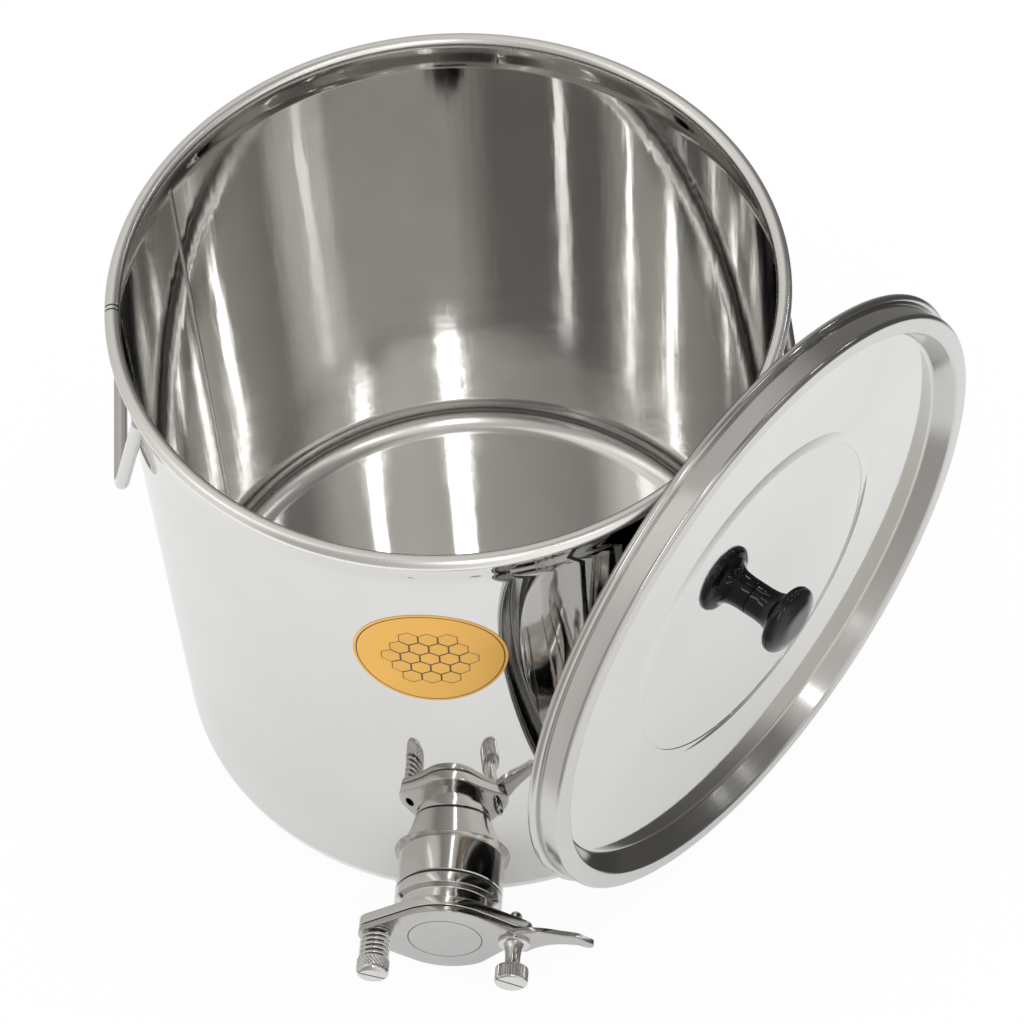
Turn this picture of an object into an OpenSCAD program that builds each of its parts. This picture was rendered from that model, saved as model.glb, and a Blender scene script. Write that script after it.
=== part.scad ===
// Honey settling tank: polished steel pot, clamped outlet gate and lid leaning beside it.
// Origin: centre of the tank base. The gate points along -Y, up is +Z. Lengths are in mm.

/* [Tank] */
// Outer diameter of the tank wall
tank_d = 362.8; // [340:0.2:400]
// Height from the base to the top of the rim
tank_h = 360; // [330:1:420]
// Sheet thickness of wall and floor
wall_t = 1; // [0.8:0.1:1.4]
// Outer radius of the corner between floor and wall
corner_r = 16; // [14:0.5:18]
// Distance of the crease under the rim from the rim top
crease_drop = 18.5; // [16:0.5:24]
// Outward step of the wall above the crease
crease_step = 0.6; // [0.4:0.1:1]
// Width of the weld seam inside the wall
seam_w = 3.5; // [2:0.5:6]
// Height of the weld seam over the sheet
seam_t = 0.25; // [0.15:0.05:0.5]
// Gap between the weld seam and the sheet
seam_gap = 0.05; // [0.03:0.01:0.1]
// Direction of the weld seam, from the gate towards +X
seam_az = -115; // [-160:1:-100]

/* [Rim] */
// Radius of the rim tube
rim_r = 4.2; // [3.4:0.1:5]
// Sheet thickness of the rim tube
rim_t = 0.9; // [0.6:0.1:1.2]
// Direction of the joint in the rim tube
rim_joint_az = -82.4; // [-120:0.1:-60]
// Length of the joint along the rim
rim_joint_w = 3; // [2:0.5:6]
// Width and depth of the two lines at the joint
rim_line = 0.3; // [0.2:0.05:0.4]

/* [Handles] */
// Rod radius
handle_r = 3.9; // [3.5:0.1:4.5]
// Direction of the left handle, the right one is opposite
handle_az = -82; // [-95:1:-75]
// Distance of the bar below the top of the rim
handle_drop = 100; // [96:1:104]
// Finger gap between bar and wall
handle_gap = 4.9; // [4.4:0.1:5.6]
// Half the length of the straight bar
handle_half = 37; // [30:1:44]
// Bend radius of the corners
handle_bend = 12; // [9:0.5:15]
// Slope of the legs towards the wall
handle_lean = 14.5; // [13:0.5:17]
// Splay of the legs away from the bar
handle_splay = 11.5; // [10:0.5:13]
// Length of the straight legs
handle_leg = 74; // [70:1:78]
// Swell of the rod where bend and leg meet
handle_swell = 0.06; // [0.04:0.01:0.1]

/* [Outlet] */
// Height of the stub pipe over the floor's rounded corner
gate_rise = 1.6; // [0.6:0.2:8]
// Outer radius of the stub pipe
stub_r = 31.2; // [29:0.2:33]
// Wall of the stub pipe
stub_t = 3.6; // [3.2:0.2:5]
// Length of the pipe in front of the wall
stub_len = 23.6; // [21:0.2:28]
// Step of the spigot below the pipe surface
spigot_in = 1.8; // [1.4:0.1:2.2]
// Length of the spigot
spigot_len = 8; // [5:0.5:8]
// Width of the weld ring on the pipe
weld_w = 3; // [2.4:0.1:5]
// Reach of the weld ring along the pipe
weld_reach = 3.4; // [2.6:0.2:7]
// Thickness of the seal ring behind the collar
stub_seal_t = 1.6; // [1:0.1:2.4]
// Step of the seal ring below the pipe surface
stub_seal_in = 0.6; // [0.4:0.1:0.8]

/* [Gate] */
// Length of the collar up to its chamfer
collar_len = 6.4; // [5:0.2:9]
// Length of the chamfer
collar_cham = 2; // [1:0.1:3]
// Step of the neck below the collar
neck_in = 3.2; // [2.2:0.1:4.2]
// Length of the neck
neck_len = 8.8; // [7:0.1:12]
// Wall between the collar's surface and the outlet bore
gate_bore_in = 6.2; // [5.7:0.1:9]
// Thickness of the flange
flange_t = 6.4; // [5:0.1:8]
// Reach of the round middle of flange and plate over the collar
lobe_out = 2.8; // [1.4:0.1:4.8]
// Radius of the two ears
ear_r = 10.4; // [10:0.1:11.5]
// Distance of the ears' middles from the edge of the round middle
ear_out = 6; // [4:0.5:10]
// Step of the straight flanks inside the round ends
flank_in = 0.06; // [0.04:0.01:0.1]
// Gap between flange and plate
plate_gap = 0.3; // [0.3:0.05:0.5]
// Step of the gate seal's middle below the collar
seal_in = 1.7; // [1.4:0.1:2]
// Width of the gate seal
seal_w = 3; // [2:0.2:3.4]
// Depth of the seal groove
seal_depth = 1.6; // [1:0.1:2.4]

/* [Gate plate] */
// Thickness of the plate
plate_t = 3.6; // [3:0.1:5]
// Reach of the lever tip from the ear's middle
lever_tip = 46; // [44:0.5:47]
// Radius of the lever tip
lever_tip_r = 3; // [2:0.1:4]
// Height of the lever tip under the outlet axis
lever_tip_drop = 1; // [0:0.1:2]
// Height of the lever over the outlet axis beside the ear
lever_top = 12.4; // [11.6:0.1:13]
// Reach of the lever's root from the ear's middle
lever_root = 15.5; // [14:0.5:18]
// Depth of the lever's root under the outlet axis
lever_root_low = 5.2; // [4:0.1:6.5]
// Reach of the lever's middle from the ear's middle
lever_mid = 25.5; // [23:0.5:28]
// Height of the lever's middle over the outlet axis
lever_mid_top = 10.2; // [9:0.1:11]
// Reach of the lever's end from the ear's middle
lever_end = 36; // [33:0.5:37]
// Height of the lever's end over the outlet axis
lever_end_top = 8.2; // [7:0.1:9]
// Depth of the lever's end under the outlet axis
lever_low = 1; // [0.5:0.1:1.5]
// Depth of the ring line on the plate
ring_depth = 0.3; // [0.2:0.05:0.5]
// Radius of the ring line on the plate
ring_r = 21.4; // [18:0.2:24]
// Width of the ring line
ring_w = 0.5; // [0.4:0.05:0.8]

/* [Screws and spring] */
// Radius of the pivot screw's head
pivot_head_r = 9.5; // [9.4:0.1:10]
// Length of the pivot screw's head
pivot_head_len = 10; // [8:0.2:12]
// Radius of the pivot shoulder
pivot_r = 5; // [4.6:0.1:5.2]
// Radius of the pivot thread
pivot_thread_r = 4; // [3.6:0.1:4.2]
// Free length between plate and pivot head
pivot_gap = 15.6; // [14:0.1:18]
// Wire radius of the spring
spring_wire_r = 1; // [0.8:0.05:1.1]
// Mean radius of the spring
spring_r = 7.9; // [7.7:0.1:8.1]
// Turns of the spring
spring_turns = 4.5; // [3.5:0.25:5]
// Radius of the clamp washer
washer_r = 9.2; // [8.6:0.1:9.8]
// Thickness of the clamp washer
washer_t = 2.2; // [1.6:0.1:3]
// Radius of the thumb screw's head
thumb_head_r = 9.6; // [9:0.1:10]
// Length of the thumb screw's head
thumb_head_len = 8.6; // [7:0.2:11]
// Radius of the thumb screw's neck
thumb_neck_r = 4.8; // [4.5:0.1:5.4]
// Length of the thumb screw's neck
thumb_neck_len = 16; // [14:0.5:20]
// Radius of the thumb screw's thread
thumb_thread_r = 3.7; // [3.4:0.1:3.9]
// Reach of the thread behind the flange
thumb_tail = 5.4; // [3:0.2:7]
// Width of the slots in the screw heads
slot_w = 1.4; // [1:0.1:2]
// Depth of the slots in the screw heads
slot_depth = 1.6; // [1:0.1:2.4]
// Chamfer of the screw heads
head_cham = 0.8; // [0.5:0.1:1.2]

/* [Lid] */
// Gap between the rim and the inside of the lid skirt
lid_fit = 0.8; // [0.7:0.1:1.5]
// Sheet thickness of the lid
lid_t = 1; // [0.8:0.1:1.1]
// Radius of the rolled lid edge
lid_bead_r = 2.6; // [2.4:0.1:3]
// Height of the lid ridge over the rolled edge
lid_ridge_h = 16.2; // [15:0.1:18]
// Width of the ridge top
lid_ridge_w = 8.4; // [7:0.2:11]
// Chamfer of the ridge
lid_ridge_cham = 2.6; // [1.5:0.1:3]
// Width of the slope inside the ridge
lid_slope_w = 6; // [5:0.2:14]
// Height of the panel over the rolled edge
lid_panel_h = 3.2; // [2.8:0.1:3.6]
// Radius of the raised middle of the panel
lid_step_r = 104; // [90:1:120]
// Width of the step around the raised middle
lid_step_w = 7; // [5:0.5:9]
// Height of the raised middle
lid_step_h = 1.3; // [1:0.1:1.6]
// Direction the leaning lid faces, from the gate towards +X
lid_az = 53.7; // [50:0.1:60]
// Lean of the lid towards the tank
lid_lean = 0.3; // [0.1:0.1:0.6]
// Reach of the rim behind the lid's edge plane
lid_sink = 1; // [0:0.1:1]
// Shift of the lid along the wall
lid_shift = 32; // [31.5:0.5:44]

/* [Knob] */
// Foot radius of the knob
knob_foot_r = 10.4; // [9:0.1:12]
// Waist radius of the knob
knob_waist_r = 9.8; // [8.5:0.1:11]
// Radius of the knob's cap
knob_cap_r = 21; // [18:0.5:24]
// Height of the knob
knob_h = 31; // [26:0.5:36]
// Screw radius in the knob
knob_screw_r = 2.5; // [2:0.1:3]
// Screw length in the knob
knob_screw_len = 18; // [12:1:22]
// Head radius of the knob screw
knob_head_r = 4.6; // [4.2:0.1:5]
// Head height of the knob screw
knob_head_h = 2.8; // [2:0.1:3.4]
// Radius of the washer under the lid
knob_washer_r = 8; // [6:0.5:10]
// Thickness of the washer under the lid
knob_washer_t = 1.2; // [0.8:0.1:1.6]

/* [Label] */
// Radius of the round label
label_r = 41.5; // [36:0.5:46]
// Distance of the label's middle below the top of the rim
label_drop = 94; // [70:1:120]
// Thickness of the label
label_t = 0.25; // [0.15:0.05:0.4]

/* [Fits] */
// Gap around the pivot shoulder in the plate
pivot_fit = 0.05; // [0.03:0.01:0.1]
// Gap around the clamp screw's thread
thread_fit = 0.3; // [0.3:0.05:0.5]
// Gap between the slot and the clamp screw
slot_fit = 0.6; // [0.5:0.1:1]
// Gap between spring and plate
spring_gap = 0.3; // [0.3:0.05:0.5]
// Overshoot of cutters
over = 1; // [0.5:0.1:2]

/* [Hidden] */
$fn = 96;
wall_fn = 360;
tank_r = tank_d / 2;
handle_z = tank_h - handle_drop;
handle_x = tank_r + handle_gap + handle_r;
stub_end = tank_r + stub_len;
gate_z = corner_r + gate_rise + stub_r;
stub_bore_r = stub_r - stub_t;
spigot_r = stub_r - spigot_in;
neck_r = stub_r - neck_in;
gate_bore_r = stub_r - gate_bore_in;
seal_r = stub_r - seal_in;
lobe_r = stub_r + lobe_out;
ear_x = lobe_r + ear_out;
label_z = tank_h - label_drop;
seam_r = tank_r - wall_t - seam_gap;
wall_top = tank_h - rim_r;
rim_mid = tank_r + crease_step - wall_t / 2;
collar_back = stub_end + stub_seal_t;
cham_back = collar_back + collar_len;
neck_back = cham_back + collar_cham;
flange_back = neck_back + neck_len;
flange_front = flange_back + flange_t;
plate_back = flange_front + plate_gap;
plate_front = plate_back + plate_t;
flank_lobe_r = lobe_r - flank_in;
flank_ear_r = ear_r - flank_in;
ear_gap = lobe_r - ear_r;
ear_sin = ear_gap / ear_x;
ear_cos = sqrt(1 - ear_sin * ear_sin);
slot_r = thumb_thread_r + slot_fit;
slot_mid = 2 * ear_x;
pivot_head_back = plate_front + pivot_gap;
pivot_head_end = pivot_head_back + pivot_head_len;
washer_front = plate_front + washer_t;
thumb_head_back = washer_front + thumb_neck_len;
thumb_head_end = thumb_head_back + thumb_head_len;
thumb_tip = flange_back - thumb_tail;
spring_start = plate_front + spring_gap + spring_wire_r;
spring_end = pivot_head_back - spring_wire_r;
spring_len = spring_end - spring_start;
spring_pitch = spring_len / spring_turns;
curl_rings = 8;
wire_sides = 6;
rim_out = rim_mid + rim_r;
lid_r = rim_out + lid_fit + lid_t;
lid_off = rim_out - lid_sink;
lid_bead_mid = lid_r + lid_bead_r - lid_t;
lid_stand = lid_bead_mid + lid_bead_r;
lid_ridge_in = lid_r - lid_ridge_cham - lid_ridge_w;
lid_panel_r = lid_ridge_in - lid_slope_w;
lid_top_h = lid_panel_h + lid_step_h;
step_in = lid_step_r - lid_step_w / 2;
step_out = lid_step_r + lid_step_w / 2;
half_share = 0.5;
third_share = 0.35;
most_share = 0.7;
near_share = 0.85;
two_share = 2;
knob_slot = slot_depth - head_cham * half_share;

// Shapes along the outlet: from the tank axis outwards at the gate's height
module along_gate(x = 0, from = 0) {
    translate([x, -from, gate_z])
        rotate([90, 0, 0])
            children();
}

// Lid's own frame placed where it leans: its axis points away from the tank
module lid_place() {
    rotate([0, 0, lid_az])
        translate([lid_shift, -lid_off, lid_stand])
            rotate([90 - lid_lean, 0, 0])
                children();
}

module wall_profile() {
    polygon([[tank_r - wall_t, corner_r],
        [tank_r, corner_r],
        [tank_r, tank_h - crease_drop],
        [tank_r + crease_step, tank_h - crease_drop + crease_step],
        [tank_r + crease_step, wall_top],
        [tank_r + crease_step - wall_t, wall_top],
        [tank_r + crease_step - wall_t, tank_h - crease_drop + crease_step],
        [tank_r - wall_t, tank_h - crease_drop]]);
}

module tank_wall() {
    color("#c9c9c7")
    difference() {
        rotate_extrude()
            wall_profile();
        along_gate(from = tank_r * half_share)
            cylinder(h = tank_r, r = stub_bore_r);
    }
}

module tank_floor() {
    color("#c4c4c2")
    cylinder(h = wall_t, r = tank_r - corner_r);
}

module floor_corner() {
    color("#c0c0be")
    rotate_extrude()
        translate([tank_r - corner_r, corner_r])
            intersection() {
                difference() {
                    circle(r = corner_r);
                    circle(r = corner_r - wall_t);
                }
                translate([0, -corner_r])
                    square([corner_r, corner_r]);
            }
}

// A quarter of the rim tube, from a starting direction round to the next
module rim_quarter(start) {
    rotate([0, 0, start])
        rotate_extrude(angle = 90)
            difference() {
                translate([rim_mid, wall_top])
                    circle(r = rim_r);
                translate([rim_mid, wall_top])
                    circle(r = rim_r - rim_t);
                wall_profile();
            }
}

module rim_front() {
    color("#d2d2d0")
        rim_quarter(-135);
}

module rim_right() {
    color("#d2d2d0")
        rim_quarter(-45);
}

module rim_back() {
    color("#d2d2d0")
        rim_quarter(45);
}

module rim_left() {
    color("#d2d2d0")
    difference() {
        rim_quarter(135);
        rotate([0, 0, rim_joint_az])
            for (side = [-1, 1])
                translate([side * rim_joint_w / 2, -rim_mid, wall_top])
                    rotate([0, 90, 0])
                        difference() {
                            cylinder(h = rim_line, r = rim_r + over, center = true);
                            cylinder(h = rim_line + over, r = rim_r - rim_line, center = true);
                        }
    }
}

module wall_seam() {
    color("#b4b4b2")
    rotate([0, 0, seam_az])
        intersection() {
            difference() {
                translate([0, 0, corner_r])
                    cylinder(h = tank_h - crease_drop - corner_r, r = seam_r);
                translate([0, 0, corner_r - over])
                    cylinder(h = tank_h, r = seam_r - seam_t);
            }
            translate([-seam_w / 2, -tank_r, 0])
                cube([seam_w, tank_r * half_share, tank_h]);
        }
}

module handle_rod() {
    translate([0, -handle_x, handle_z])
        rotate([-handle_lean, 0, 0]) {
            rotate([0, 90, 0])
                cylinder(h = handle_half * 2, r = handle_r, center = true);
            for (side = [0, 1])
                mirror([side, 0, 0])
                    translate([handle_half, 0, handle_bend]) {
                        rotate([90, 0, 0])
                            rotate([0, 0, -90])
                                rotate_extrude(angle = 90 - handle_splay)
                                    translate([handle_bend, 0])
                                        circle(r = handle_r);
                        rotate([0, handle_splay, 0])
                            translate([handle_bend, 0, 0]) {
                                cylinder(h = handle_leg, r = handle_r);
                                sphere(r = handle_r + handle_swell);
                            }
                    }
        }
}

module handle_shape(az) {
    rotate([0, 0, az])
        difference() {
            handle_rod();
            cylinder(h = tank_h, r = tank_r);
        }
}

module handle_left() {
    color("#cfcfcd")
        handle_shape(handle_az);
}

module handle_right() {
    color("#cfcfcd")
        handle_shape(handle_az + 180);
}

module outlet_stub() {
    color("#bdbdbb")
    difference() {
        union() {
            along_gate(from = tank_r * near_share)
                cylinder(h = stub_end - tank_r * near_share, r = stub_r);
            along_gate(from = tank_r * near_share)
                cylinder(h = stub_end + spigot_len - tank_r * near_share, r = spigot_r);
        }
        along_gate(from = tank_r * half_share)
            cylinder(h = tank_r, r = stub_bore_r);
        cylinder(h = tank_h, r = tank_r);
    }
}

module outlet_weld() {
    color("#a9a9a6")
    difference() {
        along_gate(from = tank_r * near_share)
            rotate_extrude()
                polygon([[stub_r, 0],
                    [stub_r + weld_w, 0],
                    [stub_r + weld_w, tank_r - tank_r * near_share + weld_reach * third_share],
                    [stub_r + weld_w * most_share, tank_r - tank_r * near_share + weld_reach * most_share],
                    [stub_r, tank_r - tank_r * near_share + weld_reach]]);
        cylinder(h = tank_h, r = tank_r, $fn = wall_fn);
        translate([-tank_r, -tank_d, -tank_h])
            cube([tank_d, tank_d, tank_h + corner_r]);
    }
}

module stub_seal() {
    color("#2a2a2a")
    along_gate(from = stub_end)
        difference() {
            cylinder(h = stub_seal_t, r = stub_r - stub_seal_in);
            translate([0, 0, -over])
                cylinder(h = stub_seal_t + over * 2, r = spigot_r);
        }
}

// Outline of flange and plate: round middle, two ears and the straight flanks
module lozenge() {
    circle(r = lobe_r);
    for (side = [-1, 1]) {
        translate([side * ear_x, 0])
            circle(r = ear_r);
        polygon([[side * flank_lobe_r * ear_sin, flank_lobe_r * ear_cos],
            [side * (ear_x + flank_ear_r * ear_sin), flank_ear_r * ear_cos],
            [side * (ear_x + flank_ear_r * ear_sin), -flank_ear_r * ear_cos],
            [side * flank_lobe_r * ear_sin, -flank_lobe_r * ear_cos]]);
    }
}

module gate_body() {
    color("#c2c2c0")
    difference() {
        union() {
            along_gate(from = collar_back)
                cylinder(h = collar_len, r = stub_r);
            along_gate(from = cham_back)
                cylinder(h = collar_cham, r1 = stub_r, r2 = neck_r);
            along_gate(from = neck_back)
                cylinder(h = neck_len, r = neck_r);
            along_gate(from = flange_back)
                linear_extrude(height = flange_t)
                    lozenge();
        }
        along_gate(from = stub_end)
            cylinder(h = plate_front - stub_end, r = gate_bore_r);
        along_gate(from = stub_end)
            cylinder(h = spigot_len, r = spigot_r);
        along_gate(from = flange_front - seal_depth)
            difference() {
                cylinder(h = seal_depth + over, r = seal_r + seal_w / 2);
                cylinder(h = seal_depth + over * 2, r = seal_r - seal_w / 2);
            }
        along_gate(x = -ear_x, from = flange_back - over)
            cylinder(h = flange_t + over * 2, r = pivot_thread_r);
        along_gate(x = ear_x, from = flange_back - over)
            cylinder(h = flange_t + over * 2, r = thumb_thread_r + thread_fit);
    }
}

module gate_seal() {
    color("#e4e2da")
    along_gate(from = flange_front - seal_depth)
        difference() {
            cylinder(h = seal_depth + plate_gap, r = seal_r + seal_w / 2);
            translate([0, 0, -over])
                cylinder(h = seal_depth + plate_gap + over * 2, r = seal_r - seal_w / 2);
        }
}

// Lever outline: from the right ear over its shoulder and middle to the rounded tip
module lever_arm() {
    translate([ear_x, 0])
        polygon([[0, 0],
            [0, ear_r * near_share],
            [ear_r * most_share, lever_top],
            [lever_root, lever_top + flank_in],
            [lever_mid, lever_mid_top],
            [lever_end, lever_end_top],
            [lever_tip - lever_tip_r * half_share, lever_tip_r * near_share - lever_tip_drop],
            [lever_tip - lever_tip_r, -lever_tip_r * near_share - lever_tip_drop],
            [lever_end, -lever_low],
            [lever_mid, -lever_low],
            [lever_root, -lever_root_low],
            [ear_r * most_share, -lever_top],
            [0, -ear_r * near_share]]);
}

module gate_plate() {
    color("#d0d0ce")
    difference() {
        union() {
            along_gate(from = plate_back)
                linear_extrude(height = plate_t)
                    lozenge();
            along_gate(from = plate_back)
                linear_extrude(height = plate_t)
                    lever_arm();
            along_gate(x = ear_x + lever_tip - lever_tip_r, from = plate_back)
                translate([0, -lever_tip_drop, 0])
                    cylinder(h = plate_t, r = lever_tip_r);
        }
        along_gate(x = -ear_x, from = plate_back - over)
            cylinder(h = plate_t + over * 2, r = pivot_r + pivot_fit);
        along_gate(x = ear_x, from = plate_back - over)
            cylinder(h = plate_t + over * 2, r = slot_r);
        along_gate(x = -ear_x, from = plate_back - over)
            intersection() {
                difference() {
                    cylinder(h = plate_t + over * 2, r = slot_mid + slot_r);
                    translate([0, 0, -over])
                        cylinder(h = plate_t + over * 4, r = slot_mid - slot_r);
                }
                translate([slot_mid * half_share, -lobe_r, 0])
                    cube([slot_mid, lobe_r, plate_t + over * 2]);
            }
        along_gate(from = plate_front - ring_depth)
            difference() {
                cylinder(h = ring_depth + over, r = ring_r + ring_w / 2);
                translate([0, 0, -over])
                    cylinder(h = ring_depth + over * 4, r = ring_r - ring_w / 2);
            }
    }
}

module slotted_head(len, r) {
    difference() {
        union() {
            cylinder(h = len - head_cham, r = r);
            translate([0, 0, len - head_cham])
                cylinder(h = head_cham, r1 = r, r2 = r - head_cham);
        }
        translate([-r - over, -slot_w / 2, len - slot_depth])
            cube([r * 2 + over * 2, slot_w, slot_depth + over]);
    }
}

module pivot_screw() {
    color("#c6c6c4")
    union() {
        along_gate(x = -ear_x, from = pivot_head_back)
            slotted_head(pivot_head_len, pivot_head_r);
        along_gate(x = -ear_x, from = flange_front)
            cylinder(h = pivot_head_back - flange_front, r = pivot_r);
        along_gate(x = -ear_x, from = flange_back)
            cylinder(h = flange_t, r = pivot_thread_r);
    }
}

// Wound spring: one tube along a helix, rings of six points joined by triangles
spring_rings = floor(spring_turns * curl_rings);
spring_points = [for (i = [0 : spring_rings]) for (k = [0 : wire_sides - 1])
    let (turn = 360 * spring_turns * i / spring_rings, side = 360 * k / wire_sides,
        reach = spring_r + spring_wire_r * cos(side))
    [reach * cos(turn), reach * sin(turn), spring_len * i / spring_rings + spring_wire_r * sin(side)]];
spring_skin = [for (i = [0 : spring_rings - 1]) for (k = [0 : wire_sides - 1])
    let (a = i * wire_sides + k, b = i * wire_sides + (k + 1) % wire_sides)
    each [[a, b, b + wire_sides], [a, b + wire_sides, a + wire_sides]]];
spring_caps = [for (k = [1 : wire_sides - 2])
    each [[0, k + 1, k], [spring_rings * wire_sides, spring_rings * wire_sides + k,
        spring_rings * wire_sides + k + 1]]];
spring_self_gap = min([for (i = [0 : spring_rings - curl_rings]) for (k = [0 : wire_sides - 1])
    for (m = [0 : wire_sides - 1])
    norm(spring_points[i * wire_sides + k] - spring_points[(i + curl_rings) * wire_sides + m])]);
echo(spring_self_gap = spring_self_gap);

module pivot_spring() {
    color("#b8b8b6")
    along_gate(x = -ear_x, from = spring_start)
        polyhedron(points = spring_points, faces = concat(spring_skin, spring_caps));
}

module clamp_washer() {
    color("#c8c8c6")
    along_gate(x = ear_x, from = plate_front)
        difference() {
            cylinder(h = washer_t, r = washer_r);
            translate([0, 0, -over])
                cylinder(h = washer_t + over * 2, r = thumb_thread_r + thread_fit);
        }
}

module thumb_screw() {
    color("#cbcbc9")
    union() {
        along_gate(x = ear_x, from = thumb_head_back)
            slotted_head(thumb_head_len, thumb_head_r);
        along_gate(x = ear_x, from = washer_front)
            cylinder(h = thumb_neck_len, r = thumb_neck_r);
        along_gate(x = ear_x, from = thumb_tip)
            cylinder(h = washer_front - thumb_tip, r = thumb_thread_r);
        along_gate(x = ear_x, from = thumb_tip)
            sphere(r = thumb_thread_r);
    }
}

module lid_pan() {
    color("#d4d4d2")
    lid_place()
        union() {
            rotate_extrude()
                difference() {
                    polygon([[0, lid_top_h],
                        [step_in, lid_top_h],
                        [step_out, lid_panel_h],
                        [lid_panel_r, lid_panel_h],
                        [lid_ridge_in, lid_ridge_h],
                        [lid_r - lid_ridge_cham, lid_ridge_h],
                        [lid_r, lid_ridge_h - lid_ridge_cham],
                        [lid_r, 0],
                        [lid_r - lid_t, 0],
                        [lid_r - lid_t, lid_ridge_h - lid_ridge_cham - lid_t * half_share],
                        [lid_r - lid_ridge_cham - lid_t * half_share, lid_ridge_h - lid_t],
                        [lid_ridge_in + lid_t * half_share, lid_ridge_h - lid_t],
                        [lid_panel_r + lid_t * half_share, lid_panel_h - lid_t],
                        [step_out, lid_panel_h - lid_t],
                        [step_in, lid_top_h - lid_t],
                        [0, lid_top_h - lid_t]]);
                    square([knob_screw_r, lid_ridge_h]);
                }
            rotate_extrude()
                translate([lid_bead_mid, 0])
                    circle(r = lid_bead_r);
        }
}

module knob() {
    color("#101012")
    lid_place()
        translate([0, 0, lid_top_h])
            difference() {
                rotate_extrude()
                    union() {
                        polygon([[0, 0],
                            [knob_foot_r, 0],
                            [knob_waist_r, knob_h * third_share * half_share],
                            [knob_waist_r, knob_h * third_share],
                            [knob_foot_r, knob_h * half_share],
                            [knob_cap_r * most_share, knob_h * most_share * near_share],
                            [knob_cap_r, knob_h * most_share],
                            [knob_cap_r, knob_h * near_share],
                            [knob_cap_r * near_share, knob_h * near_share + head_cham * two_share],
                            [knob_cap_r * half_share, knob_h],
                            [0, knob_h]]);
                    }
                translate([0, 0, -over])
                    cylinder(h = knob_screw_len + over, r = knob_screw_r);
            }
}

module knob_screw() {
    color("#b0b0ae")
    lid_place()
        translate([0, 0, lid_top_h - lid_t - knob_washer_t]) {
            cylinder(h = lid_t + knob_washer_t + knob_screw_len, r = knob_screw_r);
            translate([0, 0, -knob_head_h])
                difference() {
                    cylinder(h = knob_head_h, r = knob_head_r);
                    translate([-knob_head_r - over, -slot_w / 2, -over])
                        cube([knob_head_r * 2 + over * 2, slot_w, knob_slot + over]);
                }
        }
}

module knob_washer() {
    color("#bcbcba")
    lid_place()
        translate([0, 0, lid_top_h - lid_t - knob_washer_t])
            difference() {
                cylinder(h = knob_washer_t, r = knob_washer_r);
                translate([0, 0, -over])
                    cylinder(h = knob_washer_t + over * 2, r = knob_screw_r);
            }
}

module label() {
    color("#d9a23c")
    intersection() {
        difference() {
            cylinder(h = tank_h, r = tank_r + label_t);
            translate([0, 0, -over])
                cylinder(h = tank_h + over * 2, r = tank_r);
        }
        translate([0, -tank_r * half_share, label_z])
            rotate([90, 0, 0])
                cylinder(h = tank_r, r = label_r);
    }
}

tank_wall();
tank_floor();
floor_corner();
rim_front();
rim_right();
rim_back();
rim_left();
wall_seam();
handle_left();
handle_right();
outlet_stub();
outlet_weld();
stub_seal();
gate_body();
gate_seal();
gate_plate();
pivot_screw();
pivot_spring();
clamp_washer();
thumb_screw();
lid_pan();
knob();
knob_screw();
knob_washer();
label();
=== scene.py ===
"""Dresses the honey settling tank: polished pot, clamped gate, leaning lid and a plain studio."""

from math import acos, asin, atan2, cos, hypot, pi, radians, sin, sqrt, tan

import bmesh
import bpy
from bpy.props import FloatProperty, FloatVectorProperty, PointerProperty
from mathutils import Matrix, Vector, noise


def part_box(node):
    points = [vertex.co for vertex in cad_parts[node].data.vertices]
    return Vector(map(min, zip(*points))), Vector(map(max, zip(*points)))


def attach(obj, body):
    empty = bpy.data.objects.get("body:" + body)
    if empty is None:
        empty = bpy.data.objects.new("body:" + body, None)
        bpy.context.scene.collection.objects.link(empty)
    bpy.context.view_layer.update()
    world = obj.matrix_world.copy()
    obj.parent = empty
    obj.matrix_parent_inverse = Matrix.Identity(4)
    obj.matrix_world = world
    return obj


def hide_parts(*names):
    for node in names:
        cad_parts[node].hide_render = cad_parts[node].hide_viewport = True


bl_info = {
    "name": "Honey settling tank",
    "version": (1, 0, 0),
    "blender": (4, 5, 0),
    "location": "View3D > Sidebar > Settling tank",
    "description": "Builds the looks of a honey settling tank around its construction frame",
    "category": "Add Mesh",
}

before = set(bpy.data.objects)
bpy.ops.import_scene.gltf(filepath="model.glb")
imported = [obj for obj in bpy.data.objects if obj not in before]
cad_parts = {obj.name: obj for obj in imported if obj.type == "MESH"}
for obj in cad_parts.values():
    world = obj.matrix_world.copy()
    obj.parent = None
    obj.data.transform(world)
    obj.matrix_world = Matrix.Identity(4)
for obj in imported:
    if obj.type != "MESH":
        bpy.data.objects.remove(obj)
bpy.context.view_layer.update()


def lowest(node):
    """Lowest corner of a node of the frame."""
    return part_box(node)[0]


def highest(node):
    """Highest corner of a node of the frame."""
    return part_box(node)[1]


def extent(node):
    """Size of a node of the frame along X, Y and Z."""
    return highest(node) - lowest(node)


def centre_of(node):
    """Middle of a node of the frame."""
    return (lowest(node) + highest(node)) / 2


# Places in the frame that several sizes share, in metres; the screws stand at the ears' reach
RIM_TOP = max(highest("rim_" + side).z for side in ("front", "right", "back", "left"))
WALL_RADIUS = highest("floor_corner").x
PIPE_END = -highest("stub_seal").y
EAR_REACH = centre_of("clamp_washer").x

# Bevel of plates in metres, and the angle in degrees over which an edge stays sharp
PLATE_BEVEL = 0.0005
SHARP_EDGE = 32

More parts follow.
